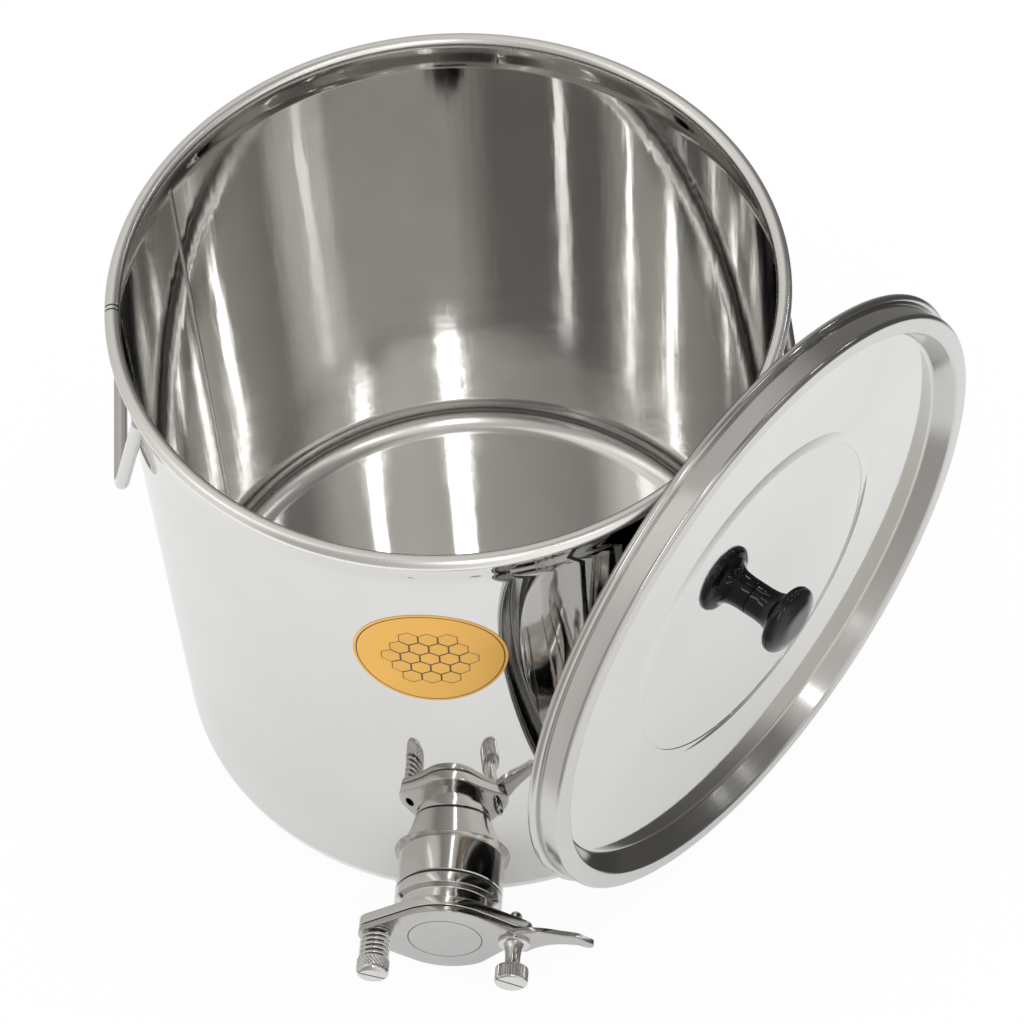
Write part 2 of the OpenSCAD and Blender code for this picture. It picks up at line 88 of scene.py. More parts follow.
# Lever of the gate's plate in metres from the outlet's axis: its lower edge outwards, its upper edge inwards
LEVER_LOWER = ((0.0472, -0.0118), (0.0488, -0.0100), (0.0515, -0.0073), (0.0545, -0.0053), (0.060, -0.0024),
               (0.0655, -0.0010), (0.071, -0.0008), (0.0765, -0.0011))
LEVER_UPPER = ((0.077, 0.0078), (0.0712, 0.0091), (0.0655, 0.0102), (0.0605, 0.0116), (0.0555, 0.0124),
               (0.0512, 0.0125), (0.0472, 0.0122), (0.0442, 0.0113), (0.0410, 0.0108))

# Neck of the thumb screw: share of its length, share of its radius
NECK_FLARE = ((0, 1.28), (0.1, 1.16), (0.22, 1.06), (0.36, 0.98), (0.7, 0.92), (0.84, 0.94), (0.94, 1.0),
              (1, 1.1))

# Lamps: name, degrees around from the gate, degrees above the floor, width and height in metres, level
LAMPS = (("front_strip", 10, 50, 0.22, 1.5, 4), ("right_strip", 47, 52, 0.14, 0.8, 4),
         ("far_strip", 100, 50, 0.2, 0.8, 2), ("left_strip", -76, 46, 0.22, 1.2, 0.8),
         ("near_spot", 124, 23, 0.14, 0.14, 12), ("far_spot", 112, 34, 0.14, 0.14, 12))

# Room seen in the steel, high up and lower down: degrees around from the gate, level
HIGH_TONES = ((-180, 0.6), (-100, 0.6), (-92, 1.0), (-60, 0.85), (-45, 0.34), (-5, 0.5), (30, 0.66),
              (60, 0.55), (75, 0.22), (150, 0.24), (180, 0.6))
LOW_TONES = ((-180, 0.45), (-120, 0.55), (-75, 0.7), (-55, 0.7), (-45, 0.35), (-10, 0.45), (15, 0.75),
             (25, 0.9), (65, 0.9), (75, 0.45), (85, 0.25), (100, 0.14), (115, 0.09), (140, 0.09), (165, 0.2),
             (180, 0.45))


def length(name, default, description):
    """A length in metres that the panel shows with its unit."""
    return FloatProperty(name=name, description=description, default=default, precision=5, unit="LENGTH")


def angle(name, default, description):
    """An angle given in degrees and kept in radians."""
    return FloatProperty(name=name, description=description, default=radians(default), unit="ROTATION")


def share(name, default, description):
    """A plain number between nothing and all."""
    return FloatProperty(name=name, description=description, default=default, min=0, max=1, subtype="FACTOR")


def colour(name, default, description):
    """A linear colour."""
    return FloatVectorProperty(name=name, description=description, default=default, size=3, min=0, max=1,
                               subtype="COLOR")


class TankSizes(bpy.types.PropertyGroup):
    """Sizes of the pot, its rim and its handles."""
    radius: length("Wall radius", WALL_RADIUS, "Outer radius of the wall")
    height: length("Height", RIM_TOP, "Height to the top of the rim")
    sheet: length("Sheet", highest("tank_floor").z, "Thickness of wall and floor")
    corner: length("Corner", highest("floor_corner").z, "Outer radius of the corner under the wall")
    crease_drop: length("Crease drop", RIM_TOP - highest("wall_seam").z,
                        "Distance of the crease from the rim's top")
    crease_step: length("Crease step", 0.0006, "Outward step of the wall above the crease")
    swell: length("Swelling", 0.0065, "Height of the sheet's swelling around the outlet, in its bump")
    swell_reach: length("Swelling reach", 0.08, "Radius of the sheet's swelling around the outlet")
    rim: length("Rim tube", RIM_TOP - highest("tank_wall").z, "Radius of the rolled rim")
    joint_line: length("Joint line", 0.0009, "Width of the two lines at the rim's joint")
    joint_gap: length("Joint gap", 0.003, "Distance between the two lines at the rim's joint")
    joint_depth: share("Joint depth", 0.08, "Depth of the two lines as a share of the rim's radius")
    joint_turn: angle("Joint direction", -82.4, "Where the rim's joint is, from the gate")
    seam: length("Seam width", 0.0035, "Width of the weld seam inside")
    seam_turn: angle("Seam direction", -115, "Where the weld seam is, from the gate")
    rod: length("Handle rod", 0.0039, "Radius of the handle rods")
    handle_turn: angle("Handle direction", -82, "Where the left handle is, from the gate")
    handle_reach: length("Handle reach", 0.1902, "Distance of the handle bar from the axis")
    handle_height: length("Handle height", 0.260, "Height of the handle bar")
    handle_half: length("Half bar", 0.037, "Half the straight part of the handle bar")
    handle_bend: length("Handle bend", 0.012, "Bend radius of the handle's corners")
    handle_leg: length("Handle leg", 0.074, "Length of the handle's legs")
    handle_lean: angle("Handle lean", 14.5, "Slope of the legs towards the wall")
    handle_splay: angle("Handle splay", 11.5, "Spread of the legs")


class GateSizes(bpy.types.PropertyGroup):
    """Sizes of the outlet, the gate, its screws and its spring."""
    height: length("Axis height", centre_of("gate_plate").z, "Height of the outlet's axis")
    pipe: length("Pipe radius", highest("outlet_stub").x, "Outer radius of the stub pipe")
    pipe_bore: length("Pipe bore", 0.0276, "Bore radius of the stub pipe")
    pipe_end: length("Pipe end", PIPE_END, "Distance of the pipe's end from the tank's axis")
    spigot: length("Spigot", 0.0294, "Radius of the pipe inside the collar")
    spigot_length: length("Spigot length", -lowest("outlet_stub").y - PIPE_END,
                          "Length of the pipe inside the collar")
    weld: length("Weld width", highest("outlet_weld").x - highest("outlet_stub").x,
                 "Width of the weld around the pipe")
    weld_reach: length("Weld reach", -lowest("outlet_weld").y - WALL_RADIUS,
                       "Reach of the weld along the pipe")
    ring: length("Seal ring", extent("stub_seal").y, "Thickness of the ring behind the collar")
    collar: length("Collar", 0.0064, "Length of the collar")
    chamfer: length("Collar chamfer", 0.002, "Length of the collar's chamfer")
    neck: length("Neck radius", 0.028, "Radius of the neck")
    neck_length: length("Neck length", 0.0088, "Length of the neck")
    bore: length("Bore", 0.025, "Radius of the outlet bore")
    flange: length("Flange", 0.0064, "Thickness of the flange")
    set_back: length("Set-back", 0.0004, "Extra gap drawn between flange and plate")
    seal_bore: length("Seal bore", 0.028, "Inner radius of the gate's seal")
    seal_edge: length("Seal radius", highest("gate_seal").x, "Outer radius of the gate's seal")
    seal: length("Seal", extent("gate_seal").y, "Thickness of the gate's seal")
    lobe: length("Lobe", extent("gate_plate").z / 2, "Radius of the round middle")
    ear: length("Ear", -lowest("gate_plate").x - EAR_REACH, "Radius of the ears")
    ear_reach: length("Ear reach", EAR_REACH, "Distance of the ears from the axis")
    gap: length("Plate gap", lowest("gate_body").y - highest("gate_plate").y,
                "Gap between flange and plate")
    plate: length("Plate", extent("gate_plate").y, "Thickness of the plate")
    lever: length("Lever", 0.086, "Reach of the lever's tip")
    plate_slot: length("Plate slot", 0.0043, "Half the width of the plate's slot for the thumb screw")
    slot_mouth: length("Slot mouth", 0.0118, "Depth of the slot's mouth on the lever's side")
    slot_mouth_inside: length("Inner slot mouth", 0.0098, "Depth of the slot's mouth on the plate's side")
    ring_line: length("Ring line", 0.0214, "Radius of the ring on the plate")
    pivot: length("Pivot", 0.005, "Radius of the pivot shoulder")
    pivot_thread: length("Pivot thread", 0.004, "Radius of the pivot's thread in the flange")
    pivot_gap: length("Pivot gap", 0.0156, "Free length under the pivot's head")
    pivot_head: length("Pivot head", 0.0095, "Radius of the pivot's head")
    pivot_head_length: length("Pivot head length", 0.010, "Length of the pivot's head")
    wire: length("Wire", 0.001, "Radius of the spring wire")
    coil: length("Coil", 0.0079, "Mean radius of the spring")
    coil_gap: length("Coil gap", 0.0003, "Gap between plate and spring")
    turns: FloatProperty(name="Turns", description="Turns of the spring", default=4.5, min=1)
    washer: length("Washer", extent("clamp_washer").x / 2, "Radius of the clamp washer")
    washer_thick: length("Washer thickness", extent("clamp_washer").y, "Thickness of the clamp washer")
    clamp_hole: length("Clamp hole", 0.004, "Radius of the thumb screw's hole in flange and washer")
    thumb_head: length("Thumb head", highest("thumb_screw").x - EAR_REACH,
                       "Radius of the thumb screw's head")
    thumb_head_length: length("Thumb head length", 0.0104, "Length of the thumb screw's head")
    thumb_neck: length("Thumb neck", 0.0048, "Radius of the thumb screw's neck")
    thumb_neck_length: length("Thumb neck length", 0.0142, "Length of the thumb screw's neck")
    thumb_thread: length("Thumb thread", 0.0037, "Radius of the thumb screw's thread")
    thumb_tail: length("Thumb tail", 0.0054, "Reach of the thread behind the flange")
    slot: length("Slot", 0.001, "Width of the slots in the screw heads")
    slot_depth: length("Slot depth", 0.0016, "Depth of the slots in the screw heads")
    pivot_slot: angle("Pivot slot", -22, "Turn of the pivot's slot")
    thumb_slot: angle("Thumb slot", -30, "Turn of the thumb screw's slot")


class LidSizes(bpy.types.PropertyGroup):
    """Sizes and place of the lid and its knob."""
    radius: length("Skirt", 0.1875, "Outer radius of the skirt")
    sheet: length("Sheet", 0.001, "Thickness of the lid")
    bead: length("Rolled edge", 0.0026, "Radius of the rolled edge")
    ridge: length("Ridge height", 0.0162, "Height of the ridge")
    ridge_width: length("Ridge width", 0.0084, "Width of the ridge's top")
    ridge_round: length("Ridge round", 0.0026, "Rounding of the ridge")
    slope: length("Slope", 0.006, "Width of the slope inside the ridge")
    panel: length("Panel height", 0.0032, "Height of the panel")
    step: length("Step radius", 0.104, "Radius of the step around the raised middle")
    step_width: length("Step width", 0.007, "Width of the step")
    step_height: length("Step height", 0.0013, "Height of the raised middle")
    turn: angle("Direction", 53.7, "Direction the lid faces, from the gate")
    lean: angle("Lean", 0.3, "Lean of the lid towards the tank")
    distance: length("Distance", 0.1847, "Distance of the lid's edge plane from the tank's axis")
    shift: length("Shift", 0.032, "Shift of the lid along the wall")
    knob_foot: length("Knob foot", 0.0104, "Radius of the knob's foot")
    knob_waist: length("Knob waist", 0.0104, "Radius of the knob's waist")
    knob_cap: length("Knob cap", 0.021, "Radius of the knob's cap")
    knob_height: length("Knob height", 0.030, "Height of the knob")
    screw_head: length("Screw head", 0.0046, "Radius of the knob screw's head")
    screw_head_height: length("Screw head height", 0.0028, "Height of the knob screw's head")
    screw_thread: length("Screw thread", 0.0025, "Radius of the knob screw's thread")
    screw_depth: length("Screw depth", 0.018, "Reach of the knob screw into the knob")
    screw_slot: length("Screw slot", 0.0012, "Width and depth of the knob screw's slot")
    washer: length("Washer", 0.008, "Radius of the knob's washer")
    washer_thick: length("Washer thickness", 0.0012, "Thickness of the knob's washer")


class Finishes(bpy.types.PropertyGroup):
    """Colours and gloss of the finishes."""
    polish: colour("Polished steel", (0.73, 0.725, 0.71), "Colour of the mirror-polished sheet")
    polish_rough: share("Polish roughness", 0.02, "Roughness of the mirror-polished sheet")
    satin: colour("Satin steel", (0.62, 0.615, 0.605), "Colour of the turned parts")
    satin_rough: share("Satin roughness", 0.2, "Roughness of the turned parts")
    plate: colour("Plate steel", (0.56, 0.555, 0.545), "Colour of the gate's plate")
    weld: colour("Weld", (0.62, 0.61, 0.59), "Colour of the weld")
    rubber: colour("Rubber", (0.02, 0.02, 0.02), "Colour of the dark ring")
    silicone: colour("Silicone", (0.75, 0.73, 0.68), "Colour of the gate's seal")
    knob: colour("Knob", (0.006, 0.006, 0.007), "Colour of the knob")
    label: colour("Label", (0.8, 0.43, 0.065), "Colour of the label")
    ink: colour("Ink", (0.06, 0.03, 0.008), "Colour of the lines on the label")
    label_radius: length("Label radius", highest("label").x, "Radius of the label")
    label_height: length("Label height", centre_of("label").z, "Height of the label's middle")
    label_sheet: length("Label sheet", 0.00025, "Thickness of the label")


class StudioLook(bpy.types.PropertyGroup):
    """Camera, floor and light."""
    lens: FloatProperty(name="Lens", description="Focal length", default=111.58, unit="CAMERA")
    eye: FloatVectorProperty(name="Eye", description="Place of the camera",
                             default=(0.1593, -1.0830, 1.6811), subtype="TRANSLATION")
    aim: FloatVectorProperty(name="Aim", description="Point the camera looks at",
                             default=(0.02643, 0.00323, 0.1414), subtype="TRANSLATION")
    roll: FloatProperty(name="Roll", description="Turn of the camera about its axis", default=-0.0668,
                        unit="ROTATION")
    floor: colour("Floor", (0.9, 0.9, 0.9), "Colour of the floor")
    floor_half: length("Floor size", 20, "Half the side of the floor")
    floor_drop: length("Floor drop", 0.0005, "Distance of the floor below the tank")
    floor_white: share("White floor", 0.94, "How far the floor shows as plain white")
    floor_mirror: share("White in the steel", 0.3, "How far the floor shows as plain white in the steel")


def settings():
    """The settings of the open scene."""
    return bpy.context.scene.settling_tank


class TankSettings(bpy.types.PropertyGroup):
    """All settings of the tank."""
    tank: PointerProperty(type=TankSizes)
    gate: PointerProperty(type=GateSizes)
    lid: PointerProperty(type=LidSizes)
    finish: PointerProperty(type=Finishes)
    studio: PointerProperty(type=StudioLook)


# Mesh tools

def arc(centre, radius, start, end, steps):
    """Points on a round stretch from one angle to another."""
    return [(centre[0] + radius * cos(start + (end - start) * k / steps),
             centre[1] + radius * sin(start + (end - start) * k / steps)) for k in range(steps + 1)]


def disc(centre, radius, steps=48):
    """Points of a closed circle."""
    return arc(centre, radius, 0, 2 * pi, steps)[:-1]


def quads(rows, count, ring=True):
    """Faces between rows of points; each row is a closed ring or an open strip."""
    faces = []
    for j in range(rows - 1):
        a, b = j * count, (j + 1) * count
        for k in range(count if ring else count - 1):
            n = (k + 1) % count
            faces.append([a + k, a + n, b + n, b + k])
    return faces


def capped(rows, count):
    """Faces between rings of points, closed by flat ends."""
    start = (rows - 1) * count
    return quads(rows, count) + [list(range(count - 1, -1, -1)), list(range(start, start + count))]


def lathe(profile, steps=192, closed=True):
    """Points and faces of a profile of (radius, height) pairs turned about Z."""
    points, faces, rows = [], [], []
    for r, h in profile:
        if r < 1e-9:
            rows.append([len(points)] * steps)
            points.append((0, 0, h))
        else:
            rows.append(list(range(len(points), len(points) + steps)))
            points.extend((r * cos(2 * pi * k / steps), r * sin(2 * pi * k / steps), h)
                          for k in range(steps))
    pairs = list(zip(rows, rows[1:] + rows[:1])) if closed else list(zip(rows, rows[1:]))
    for a, b in pairs:
        for k in range(steps):
            n = (k + 1) % steps
            face = [a[k], a[n], b[n], b[k]]
            face = [v for i, v in enumerate(face) if v != face[i - 1]]
            if len(face) > 2:
                faces.append(face)
    return points, faces


def soften(points, radii, steps=6):
    """A closed outline with rounded corners; radii holds one radius for each point."""
    side_share = 0.49
    result = []
    count = len(points)
    for i, (p, r) in enumerate(zip(points, radii)):
        if r <= 0:
            result.append(tuple(p))
            continue
        p, a, b = Vector(p), Vector(points[i - 1]), Vector(points[(i + 1) % count])
        u, v = (a - p).normalized(), (b - p).normalized()
        half = acos(max(-1, min(1, u.dot(v)))) / 2
        reach = min(r / tan(half), (a - p).length * side_share, (b - p).length * side_share)
        middle = p + (u + v).normalized() * (reach / cos(half))
        start, end = p + u * reach - middle, p + v * reach - middle
        sweep = atan2(start.x * end.y - start.y * end.x, start.dot(end))
        for k in range(steps + 1):
            turn = sweep * k / steps
            result.append((middle.x + start.x * cos(turn) - start.y * sin(turn),
                           middle.y + start.x * sin(turn) + start.y * cos(turn)))
    return result


def tube(path, radius, sides=20):
    """Points and faces of a round rod along a path, closed by flat ends."""
    path = [Vector(p) for p in path]
    points = []
    way = (path[1] - path[0]).normalized()
    side = way.orthogonal().normalized()
    for i, p in enumerate(path):
        ahead = (path[min(i + 1, len(path) - 1)] - path[max(i - 1, 0)]).normalized()
        side = way.rotation_difference(ahead) @ side
        side = (side - ahead * side.dot(ahead)).normalized()
        up = ahead.cross(side)
        way = ahead
        points.extend(p + side * (radius * cos(2 * pi * k / sides)) + up * (radius * sin(2 * pi * k / sides))
                      for k in range(sides))
    return points, capped(len(path), sides)


def sheet_metal(name, outlines, thick, bevel, place):
    """A bevelled plate from closed outlines: the first is the edge, the others are holes."""
    curve = bpy.data.curves.new(name + "_outline", "CURVE")
    curve.dimensions = "2D"
    curve.fill_mode = "BOTH"
    curve.extrude = thick / 2 - bevel
    curve.bevel_depth = bevel
    curve.bevel_resolution = 2
    curve.offset = -bevel
    for outline in outlines:
        spline = curve.splines.new("POLY")
        spline.points.add(len(outline) - 1)
        for point, (x, y) in zip(spline.points, outline):
            point.co = (x, y, 0, 1)
        spline.use_cyclic_u = True
    carrier = bpy.data.objects.new(name + "_outline", curve)
    bpy.context.scene.collection.objects.link(carrier)
    bpy.context.view_layer.update()
    mesh = bpy.data.meshes.new_from_object(carrier.evaluated_get(bpy.context.evaluated_depsgraph_get()))
    bpy.data.objects.remove(carrier)
    bpy.data.curves.remove(curve)
    mesh.transform(place @ Matrix.Translation((0, 0, thick / 2)))
    points = [tuple(v.co) for v in mesh.vertices]
    faces = [list(p.vertices) for p in mesh.polygons]
    bpy.data.meshes.remove(mesh)
    return points, faces


def moved(shape, place):
    """A shape put in another place."""
    points, faces = shape
    return [tuple(place @ Vector(p)) for p in points], faces


def joined(*shapes):
    """Several shapes as one."""
    points, faces = [], []
    for p, f in shapes:
        start = len(points)
        points.extend(p)
        faces.extend([v + start for v in face] for face in f)
    return points, faces


def piece(name, shape, material, body, *nodes, sharp=SHARP_EDGE, slot=None):
    """A finished piece that rides on its body and stands for its nodes."""
    points, faces = shape
    mesh = bpy.data.meshes.new(name)
    mesh.from_pydata([tuple(p) for p in points], [], faces)
    work = bmesh.new()
    work.from_mesh(mesh)
    bmesh.ops.remove_doubles(work, verts=work.verts, dist=1e-7)
    bmesh.ops.recalc_face_normals(work, faces=work.faces)
    work.to_mesh(mesh)
    work.free()
    mesh.shade_smooth()
    mesh.set_sharp_from_angle(angle=radians(sharp))
    obj = bpy.data.objects.new(name, mesh)
    bpy.context.scene.collection.objects.link(obj)
    mesh.materials.append(material)
    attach(obj, body)
    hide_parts(*nodes)
    return obj


def second_finish(obj, material, chosen):
    """Gives the faces that are chosen another material."""
    mesh = obj.data
    mesh.materials.append(material)
    for face in mesh.polygons:
        if chosen(face):
            face.material_index = len(mesh.materials) - 1


def cut_away(obj, tool):
    """Cuts a tool's mesh out of a piece and keeps the result as its mesh."""
    cutter = bpy.data.objects.new(tool.name, tool)
    bpy.context.scene.collection.objects.link(cutter)
    cut = obj.modifiers.new(tool.name, "BOOLEAN")
    cut.object = cutter
    cut.solver = "EXACT"
    bpy.context.view_layer.update()
    result = bpy.data.meshes.new_from_object(obj.evaluated_get(bpy.context.evaluated_depsgraph_get()))
    obj.modifiers.clear()
    old, obj.data = obj.data, result
    result.name = old.name
    bpy.data.meshes.remove(old)
    bpy.data.objects.remove(cutter)
    bpy.data.meshes.remove(tool)


def drilled(obj, start, end, radius):
    """Drills a round hole through a piece."""
    axis = Vector(end) - Vector(start)
    points, faces = lathe([(0, 0), (radius, 0), (radius, axis.length), (0, axis.length)], 96, closed=False)
    drill = bpy.data.meshes.new("drill")
    drill.from_pydata(points, [], faces)
    drill.transform(Matrix.Translation(start) @ axis.to_track_quat("Z", "Y").to_matrix().to_4x4())
    cut_away(obj, drill)


def slotted(obj, place, radius, size, slot, depth):
    """Cuts a straight slot across a screw head."""
    blade = bpy.data.meshes.new("slot_cut")
    work = bmesh.new()
    bmesh.ops.create_cube(work, size=1)
    work.to_mesh(blade)
    work.free()
    box = Matrix.Diagonal((radius * 3, slot, depth * 2, 1))
    blade.transform(place @ Matrix.Translation((0, 0, size)) @ box)
    cut_away(obj, blade)


# Materials

def group(name, inputs, outputs):
    """An empty shader node group with named sockets."""
    tree = bpy.data.node_groups.new(name, "ShaderNodeTree")
    for label, kind, value in inputs:
        socket = tree.interface.new_socket(label, in_out="INPUT", socket_type=kind)
        socket.default_value = value
    for label, kind in outputs:
        tree.interface.new_socket(label, in_out="OUTPUT", socket_type=kind)
    return tree, tree.nodes.new("NodeGroupInput"), tree.nodes.new("NodeGroupOutput")


def feed(tree, socket, value):
    """Links a socket to another one, or sets it to a plain value."""
    if isinstance(value, bpy.types.NodeSocket):
        tree.links.new(value, socket)
    else:
        socket.default_value = value


def calc(tree, operation, *values):
    """Result of a math node."""
    node = tree.nodes.new("ShaderNodeMath")
    node.operation = operation
    for socket, value in zip(node.inputs, values):
        feed(tree, socket, value)
    return node.outputs[0]


def plus(tree, a, b):
    """Sum of two values."""
    return calc(tree, "ADD", a, b)


def minus(tree, a, b):
    """Difference of two values."""
    return calc(tree, "SUBTRACT", a, b)


def times(tree, a, b):
    """Product of two values."""
    return calc(tree, "MULTIPLY", a, b)


def vector(tree, operation, *values):
    """Result of a vector math node: a number for a length or a dot product, else a vector."""
    node = tree.nodes.new("ShaderNodeVectorMath")
    node.operation = operation
    for socket, value in zip(node.inputs, values):
        feed(tree, socket, value)
    return node.outputs["Value"] if operation in ("LENGTH", "DOT_PRODUCT") else node.outputs["Vector"]


def grain(tree, where, scale, detail, rough=0.5):
    """Cloudy noise over a place."""
    node = tree.nodes.new("ShaderNodeTexNoise")
    node.inputs["Scale"].default_value = scale
    node.inputs["Detail"].default_value = detail
    node.inputs["Roughness"].default_value = rough
    tree.links.new(where, node.inputs["Vector"])
    return node.outputs["Fac"]


def spread(tree, value, low, high, to_low, to_high):
    """Maps a value from one range to another."""
    node = tree.nodes.new("ShaderNodeMapRange")
    for socket, setting in zip(node.inputs, (value, low, high, to_low, to_high)):
        feed(tree, socket, setting)
    return node.outputs["Result"]


def blend(tree, share, a, b):
    """Mixes two colours, each a socket or three plain values, by a share."""
    node = tree.nodes.new("ShaderNodeMix")
    node.data_type = "RGBA"
    for label, value in (("Factor", share), ("A", a), ("B", b)):
        plain = not isinstance(value, (float, bpy.types.NodeSocket))
        feed(tree, node.inputs[label], (*value, 1) if plain else value)
    return node.outputs["Result"]


def object_place(tree):
    """Place on the piece, in metres."""
    return tree.nodes.new("ShaderNodeTexCoord").outputs["Object"]


def steel_group():
    """Polishing haze, fine scratches and faint smudges of polished or satin steel."""
    if "Steel surface" in bpy.data.node_groups:
        return bpy.data.node_groups["Steel surface"]
    tree, given, out = group("Steel surface",
                             [("Tint", "NodeSocketColor", (0.8, 0.8, 0.8, 1)),
                              ("Roughness", "NodeSocketFloat", 0.1),
                              ("Haze", "NodeSocketFloat", 0.05),
                              ("Grain Stretch", "NodeSocketVector", (1, 1, 1)),
                              ("Scratches", "NodeSocketFloat", 0.5)],
                             [("Colour", "NodeSocketColor"), ("Roughness", "NodeSocketFloat"),
                              ("Height", "NodeSocketFloat")])
    place = object_place(tree)
    cloud = spread(tree, grain(tree, place, 9, 4), 0.35, 0.7, 0, 1)
    smear = spread(tree, grain(tree, vector(tree, "MULTIPLY", place, (30, 30, 7)), 1, 5), 0.4, 0.75, 0, 1)
    lines = grain(tree, vector(tree, "MULTIPLY", place, given.outputs["Grain Stretch"]), 1, 3, 0.7)
    hair = spread(tree, grain(tree, vector(tree, "MULTIPLY", place, (900, 900, 25)), 1, 2), 0.62, 0.72, 0, 1)
    haze = times(tree, plus(tree, times(tree, cloud, 0.6), smear), given.outputs["Haze"])
    scratch = times(tree, hair, times(tree, given.outputs["Scratches"], 0.1))
    rough = plus(tree, plus(tree, given.outputs["Roughness"], haze), scratch)
    darker = vector(tree, "SCALE", given.outputs["Tint"])
    darker.node.inputs["Scale"].default_value = 0.88
    tint = blend(tree, times(tree, cloud, 0.5), given.outputs["Tint"], darker)
    height = plus(tree, lines, times(tree, cloud, 0.4))
    tree.links.new(tint, out.inputs["Colour"])
    tree.links.new(rough, out.inputs["Roughness"])
    tree.links.new(height, out.inputs["Height"])
    return tree


def turned_group():
    """Fine turning lines around an axis."""
    if "Turned lines" in bpy.data.node_groups:
        return bpy.data.node_groups["Turned lines"]
    tree, given, out = group("Turned lines",
                             [("Centre", "NodeSocketVector", (0, 0, 0)),
                              ("Axis", "NodeSocketVector", (0, 1, 0)),
                              ("Density", "NodeSocketFloat", 4000.0)],
                             [("Mask", "NodeSocketFloat"), ("Height", "NodeSocketFloat")])
    away = vector(tree, "SUBTRACT", object_place(tree), given.outputs["Centre"])
    along = vector(tree, "DOT_PRODUCT", away, given.outputs["Axis"])
    shaft = vector(tree, "SCALE", given.outputs["Axis"])
    tree.links.new(along, shaft.node.inputs["Scale"])
    flat = vector(tree, "LENGTH", vector(tree, "SUBTRACT", away, shaft))
    ring = tree.nodes.new("ShaderNodeCombineXYZ")
    tree.links.new(times(tree, flat, given.outputs["Density"]), ring.inputs[0])
    tree.links.new(times(tree, along, given.outputs["Density"]), ring.inputs[1])
    lines = grain(tree, ring.outputs[0], 1, 3, 0.6)
    tree.links.new(spread(tree, lines, 0.35, 0.7, 0, 1), out.inputs["Mask"])
    tree.links.new(lines, out.inputs["Height"])
    return tree


def blank(name):
    """A new material with its node tree and its shader."""
    material = bpy.data.materials.new(name)
    material.use_nodes = True
    return material, material.node_tree, material.node_tree.nodes["Principled BSDF"]


def use(tree, made, values):
    """Puts a node group with its own values into a material."""
    node = tree.nodes.new("ShaderNodeGroup")
    node.node_tree = made
    for label, value in values.items():
        node.inputs[label].default_value = value
    return node


def bump(tree, shader, height, strength, distance):
    """Raises a material's surface by a height."""
    node = tree.nodes.new("ShaderNodeBump")
    node.inputs["Strength"].default_value = strength
    node.inputs["Distance"].default_value = distance
    tree.links.new(height, node.inputs["Height"])
    tree.links.new(node.outputs["Normal"], shader.inputs["Normal"])


def paint(tree, shader, colour, rough):
    """Feeds a shader's colour and roughness."""
    tree.links.new(colour, shader.inputs["Base Color"])
    tree.links.new(rough, shader.inputs["Roughness"])


def bare_steel(name, tint, rough, haze, stretch, scratches):
    """A metal with the steel surface: its material, tree, shader and the surface's outputs."""
    material, tree, shader = blank(name)
    shader.inputs["Metallic"].default_value = 1
    surface = use(tree, steel_group(), {"Tint": (*tint, 1), "Roughness": rough, "Haze": haze,
                                        "Grain Stretch": stretch, "Scratches": scratches})
    return material, tree, shader, surface.outputs


def polished_steel(name, rough=1.0, haze=0.05, stretch=(60, 60, 60), lumps=0.02, scratches=0.5, tint=1.0):
    """Mirror-polished sheet."""
    look = settings().finish
    material, tree, shader, surface = bare_steel(name, [c * tint for c in look.polish],
                                                 look.polish_rough * rough, haze, stretch, scratches)
    paint(tree, shader, surface["Colour"], surface["Roughness"])
    bump(tree, shader, surface["Height"], lumps, 0.001)
    return material


def swollen(material, centre, height, reach):
    """Adds a wide, soft swelling around a point to a material's bump."""
    tree = material.node_tree
    away = vector(tree, "LENGTH", vector(tree, "SUBTRACT", object_place(tree), centre))
    fall = times(tree, calc(tree, "POWER", calc(tree, "DIVIDE", away, reach), 2.0), -1.0)
    swell = tree.nodes.new("ShaderNodeBump")
    swell.inputs["Distance"].default_value = height
    tree.links.new(calc(tree, "EXPONENT", fall), swell.inputs["Height"])
    fine = next(node for node in tree.nodes if node.type == "BUMP" and node != swell)
    tree.links.new(swell.outputs["Normal"], fine.inputs["Normal"])


def turned_steel(name, centre, rough=1.0, tint=1.0, depth=0.05, axis=(0, 1, 0), density=3500.0):
    """Lathe-turned satin steel with rings about its own axis."""
    look = settings().finish
    material, tree, shader, surface = bare_steel(name, [c * tint for c in look.satin],
                                                 look.satin_rough * rough, 0.02, (300, 300, 300), 0.4)
    rings = use(tree, turned_group(), {"Centre": centre, "Axis": axis, "Density": density})
    ring_rough = plus(tree, surface["Roughness"], times(tree, rings.outputs["Mask"], 0.04))
    paint(tree, shader, surface["Colour"], ring_rough)
    if depth:
        bump(tree, shader, rings.outputs["Height"], depth, 0.0002)
    return material


def weld_metal(name):
    """Rough weld with small lumps and heat-darkened spots."""
    material, tree, shader = blank(name)
    shader.inputs["Metallic"].default_value = 1
    place = object_place(tree)
    lumps = grain(tree, place, 420, 4)
    spots = spread(tree, grain(tree, place, 120, 3), 0.4, 0.7, 0, 1)
    tint = settings().finish.weld
    paint(tree, shader, blend(tree, spots, tint, [c * 0.6 for c in tint]),
          spread(tree, lumps, 0.3, 0.7, 0.22, 0.42))
    bump(tree, shader, lumps, 0.35, 0.0006)
    return material


